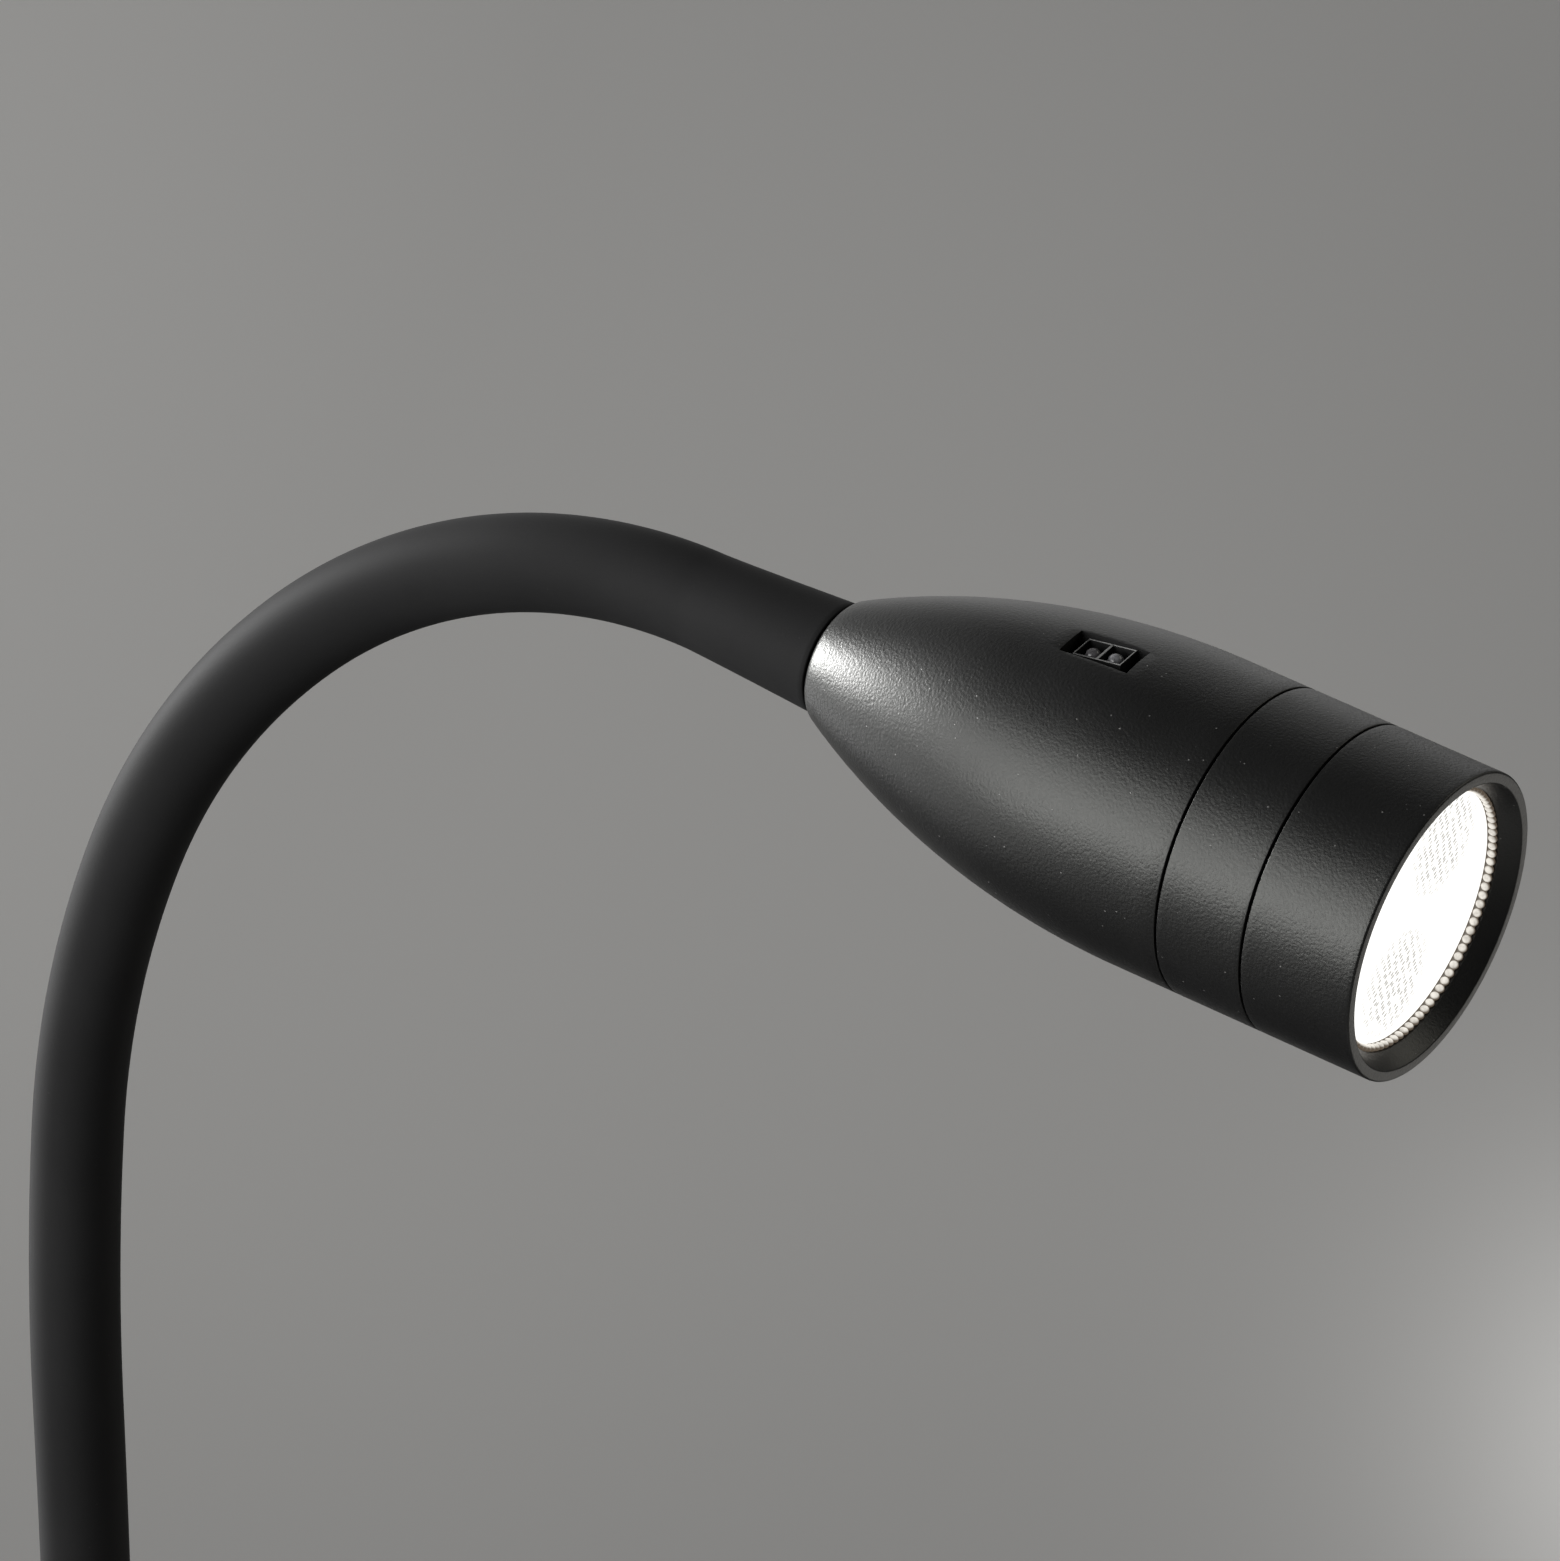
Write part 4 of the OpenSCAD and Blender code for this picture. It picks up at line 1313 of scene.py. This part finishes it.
@dataclass
class Switch:
    """Block of the touchless switch under the window, with one cell for each dome.

    Attributes:
        head: The head that it sits in.
        length: Length of the block in millimetres.
        width: Width of the block.
        middle: Height of its middle above the neck.
        side: Its shift across the window.
        sink_back: Depth of its face below the surface at the end towards the neck.
        sink_front: Depth of its face at the other end.
        foot: Distance of the control board from the head's axis.
        wall: Wall of a cell.
        depth: Depth of the cells.
        edge: Rounding of the walls' edges.
        on_face: Vertices closer than this to the face count as on it.
        sharp: Edges that turn by more than this angle are rounded.
    """

    head: Head
    length: float = 7.0
    width: float = 3.7
    middle: float = 39.9
    side: float = -0.4
    sink_back: float = 0.85
    sink_front: float = 0.25
    foot: float = 11.05
    wall: float = 0.19
    depth: float = 3.0
    edge: float = 0.05
    on_face: float = 0.001
    sharp: float = 1.0

    def build(self, paints: PaintBox) -> list[bpy.types.Object]:
        """Makes the block.

        Args:
            paints: The materials.

        Returns:
            The pieces made.
        """
        block = put(self._block(), self.head.window_place)
        looks = [paints.get(SWITCH_CELLS)]
        return [keep_on_head(block, "switch_block", looks, ["sensor_body"])]

    def _face_place(self) -> Matrix:
        """Slopes the block's face.

        Returns:
            What takes a unit square to the face, with Z outward in millimetres.
        """
        back, front = self.middle - self.length / 2, self.middle + self.length / 2
        low, high = self.head.outline(back) - self.sink_back, self.head.outline(front) - self.sink_front
        return Matrix.Scale(MM, 4) @ Matrix((
            (high - low, 0.0, 1.0, (low + high) / 2),
            (0.0, self.width, 0.0, self.side),
            (self.length, 0.0, 0.0, self.middle),
            (0.0, 0.0, 0.0, 1.0),
        ))

    def _block(self) -> bmesh.types.BMesh:
        """Shapes the block.

        Returns:
            The block, whose attribute painted_edge_highlight is 1 on the upper edges of its walls, where a
            highlight is painted.
        """
        mesh = bmesh.new()
        place = self._face_place()
        bmesh.ops.create_grid(mesh, x_segments=2, y_segments=1, size=0.5, matrix=place)
        cells = mesh.faces[:]
        bmesh.ops.inset_individual(mesh, faces=cells, thickness=self.wall * MM, use_even_offset=True)
        floors = bmesh.ops.extrude_discrete_faces(mesh, faces=cells)["faces"]
        sunk = list({v for f in floors for v in f.verts})
        bmesh.ops.translate(mesh, vec=(-self.depth * MM, 0.0, 0.0), verts=sunk)
        skirt = bmesh.ops.extrude_edge_only(mesh, edges=[e for e in mesh.edges if e.is_boundary])["geom"]
        bmesh.ops.scale(
            mesh, vec=(0.0, 1.0, 1.0), space=Matrix.Translation((-self.foot * MM, 0.0, 0.0)),
            verts=[g for g in skirt if isinstance(g, bmesh.types.BMVert)],
        )
        bmesh.ops.holes_fill(mesh, edges=[e for e in mesh.edges if e.is_boundary], sides=0)
        bmesh.ops.recalc_face_normals(mesh, faces=mesh.faces[:])
        back = place.inverted()
        upper = {v for v in mesh.verts if abs((back @ v.co).z) < self.on_face}
        edges = [e for e in mesh.edges if upper.issuperset(e.verts) and e.calc_face_angle(0.0) > self.sharp]
        bmesh.ops.bevel(
            mesh, geom=edges, offset=self.edge * MM, offset_type="OFFSET", segments=2, profile=0.5,
            affect="EDGES", material=-1,
        )
        # Marks the upper edges of the walls for the painted highlight.
        painted_edge_highlight = mesh.faces.layers.float.new("painted_edge_highlight")
        for face in mesh.faces:
            face[painted_edge_highlight] = float(min((back @ v.co).z for v in face.verts) > -2 * self.edge)
        return mesh


@dataclass
class Dressing:
    """Gives every CAD node that still shows the finish of its slot.

    Attributes:
        nodes: The frame's nodes by name.
        slots: Slot of each node.
    """

    nodes: dict[str, bpy.types.Object]
    slots: dict[str, str]

    def dress(self, paints: PaintBox) -> int:
        """Puts the materials on.

        Args:
            paints: The materials.

        Returns:
            How many nodes were dressed.
        """
        for name, node in self.nodes.items():
            node.data.materials.clear()
            node.data.materials.append(paints.slot(self.slots[name]))
        return len(self.nodes)


@dataclass
class SoftBox:
    """A soft studio light.

    Attributes:
        name: Name of the light.
        towards: Direction from the target to the light.
        distance: Distance in metres.
        size: Width and height in metres.
        power: Power in watts.
        tone: Colour.
    """

    name: str
    towards: Triple
    distance: float
    size: Point
    power: float
    tone: Colour = (1.0, 1.0, 1.0)

    def hang(self, target: Vector) -> None:
        """Hangs the light.

        Args:
            target: What it faces.
        """
        data = bpy.data.lights.new(self.name, "AREA")
        data.shape = "RECTANGLE"
        data.size, data.size_y = self.size
        data.energy = self.power
        data.color = self.tone
        lamp = bpy.data.objects.new(self.name, data)
        lamp.visible_camera = False
        back = Vector(self.towards).normalized()
        lamp.location = target + back * self.distance
        lamp.rotation_mode = "QUATERNION"
        lamp.rotation_quaternion = back.to_track_quat("Z", "Y")
        bpy.context.scene.collection.objects.link(lamp)


@dataclass
class Studio:
    """Plain studio round the light: floor, backdrop, soft boxes and camera.

    Attributes:
        target: What the lights face.
        floor: Height of the floor in metres.
        back: Distance of the backdrop behind the wall's plane.
        reach: Half width of floor and backdrop.
        camera_at: Place of the camera.
        focal_px: Focal length in pixels of the photograph.
        frame_px: Longer side of the photograph in pixels.
        shade_at: Middle of the shade card.
        shade_size: Half width and half height of the shade card.
        air: Strength of the even light from all round.
    """

    target: Vector
    floor: float = -2.6
    back: float = 2.6
    reach: float = 7.0
    camera_at: Triple = (0.10511, -1.01842, 0.186)
    focal_px: float = 6000.0
    frame_px: float = 1561.0
    shade_at: Triple = (-0.4, 0.7, -1.02)
    shade_size: Point = (1.2, 0.8)
    air: float = 0.127

    def build(self, paints: PaintBox) -> list[bpy.types.Object]:
        """Makes floor, backdrop, lights and camera.

        Args:
            paints: The materials.

        Returns:
            The floor and the backdrop made.
        """
        flat = Matrix.Translation((0.0, 0.0, self.floor))
        upright = Matrix.Translation((0.0, self.back, 0.0)) @ Matrix.Rotation(math.pi / 2, 4, "X")
        sheets = [
            self._sheet("floor", flat, paints.get(FLOOR_PAPER)),
            self._sheet("backdrop", upright, paints.get(BACK_PAPER)),
        ]
        shade = self._sheet("shade_card", self._shade_place(), paints.slot("seal_black"))
        shade.visible_camera = False
        for box in self._boxes():
            box.hang(self.target)
        for box, (x, z) in self._wall_boxes():
            box.hang(Vector((x, self.back, z)))
        self._air()
        self._camera()
        return sheets

    def _shade_place(self) -> Matrix:
        """Place of a dark card below the picture, which keeps the wall's light off the head's underside.

        Returns:
            What takes a sheet to that place and size.
        """
        width, height = self.shade_size
        size = Matrix.Diagonal((width / self.reach, height / self.reach, 1.0, 1.0))
        return Matrix.Translation(self.shade_at) @ Matrix.Rotation(math.pi / 2, 4, "X") @ size

    def _sheet(self, name: str, place: Matrix, look: bpy.types.Material) -> bpy.types.Object:
        """Makes one large flat sheet.

        Args:
            name: Name of the sheet.
            place: Where it lies.
            look: Its material.

        Returns:
            The sheet.
        """
        mesh = bmesh.new()
        bmesh.ops.create_grid(mesh, x_segments=2, y_segments=2, size=self.reach, matrix=place)
        return keep_piece(mesh, name, [look])

    def _boxes(self) -> list[SoftBox]:
        """The soft boxes that face the head."""
        return [
            SoftBox("key", (-0.82, 0.45, 0.33), 1.6, (0.5, 0.42), 40.0),
            SoftBox("side", (-0.87, -0.50, -0.03), 1.6, (1.3, 1.13), 3.35),
            SoftBox("side_up", (-0.80, -0.50, 0.33), 1.6, (1.3, 0.45), 3.7),
            SoftBox("side_mid", (-0.86, -0.50, 0.08), 1.6, (1.3, 0.45), 5.6),
            SoftBox("side_low", (-0.86, -0.48, -0.20), 1.6, (1.3, 0.45), 10.2),
            SoftBox("left_low", (-0.90, 0.42, -0.05), 1.8, (0.5, 0.9), 1.8),
            SoftBox("low_glow", (-0.74, 0.66, -0.11), 2.0, (0.7, 0.5), 3.4),
            SoftBox("low_side", (-0.89, 0.12, -0.42), 1.8, (1.0, 0.5), 1.4),
            SoftBox("high_glow", (0.13, 0.65, 0.75), 2.2, (0.9, 1.3), 1.2),
            SoftBox("overhead", (0.10, 0.35, 0.93), 2.2, (0.9, 0.9), 0.8),
            SoftBox("rear_sky", (-0.25, 0.78, 0.57), 2.0, (2.4, 1.3), 4.4),
            SoftBox("pool", (0.763, 0.543, -0.351), 1.5, (0.9, 0.7), 1.5, (1.0, 0.97, 0.92)),
            SoftBox("bevel_glow", (0.76, 0.06, 0.62), 1.5, (1.2, 0.8), 2.5, (1.0, 0.96, 0.86)),
        ]

    def _wall_boxes(self) -> list[tuple[SoftBox, Point]]:
        """The soft boxes that face the backdrop, each with the place that it lights."""
        front = (0.0, -1.0, 0.0)
        return [
            (SoftBox("wall_wash", front, 1.8, (1.6, 1.0), 21.0), (-0.95, 0.45)),
            (SoftBox("corner_glow", front, 0.18, (0.06, 0.22), 0.28), (0.64, -0.22)),
        ]

    def _air(self) -> None:
        """Even light from all round."""
        world = bpy.data.worlds.new("studio_air")
        world.use_nodes = True
        shade = world.node_tree.nodes["Background"]
        shade.inputs["Color"].default_value = (0.5, 0.5, 0.5, 1.0)
        shade.inputs["Strength"].default_value = self.air
        bpy.context.scene.world = world
        bpy.context.scene.view_settings.view_transform = "Standard"

    def _camera(self) -> None:
        """Camera of the photograph: level, along +Y."""
        data = bpy.data.cameras.new("photo_camera")
        data.sensor_fit = "VERTICAL"
        data.sensor_height = 36.0
        data.sensor_width = 36.0
        data.lens = self.focal_px * data.sensor_height / self.frame_px
        camera = bpy.data.objects.new("photo_camera", data)
        camera.location = self.camera_at
        camera.rotation_euler = (math.pi / 2, 0.0, 0.0)
        bpy.context.scene.collection.objects.link(camera)
        bpy.context.scene.camera = camera


def node_slots(record: dict) -> dict[str, str]:
    """Slot of each CAD node, from the record."""
    return {part["node"]: part["material_slot"] for part in record["subparts"]}


def main() -> None:
    """Builds the looks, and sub-assembly by sub-assembly."""
    logging.basicConfig(level=logging.INFO, format="%(name)s: %(message)s")
    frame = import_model()
    paints = PaintBox()
    path = ArmPath()
    neck = path.neck()
    dressed = Dressing(frame["nodes"], node_slots(frame["record"])).dress(paints)
    LOG.info("dressed %d nodes of the frame", dressed)
    head = Head(neck)
    for part in (WallSide(), Sleeve(path), head, Switch(head)):
        for piece in part.build(paints):
            LOG.info("%s: %s, %d faces", type(part).__name__, piece.name, len(piece.data.polygons))
    middle = neck @ Vector((0.0, 0.0, AIM))
    for sheet in Studio(middle).build(paints):
        LOG.info("stage: %s", sheet.name)


if __name__ == "__main__":
    main()
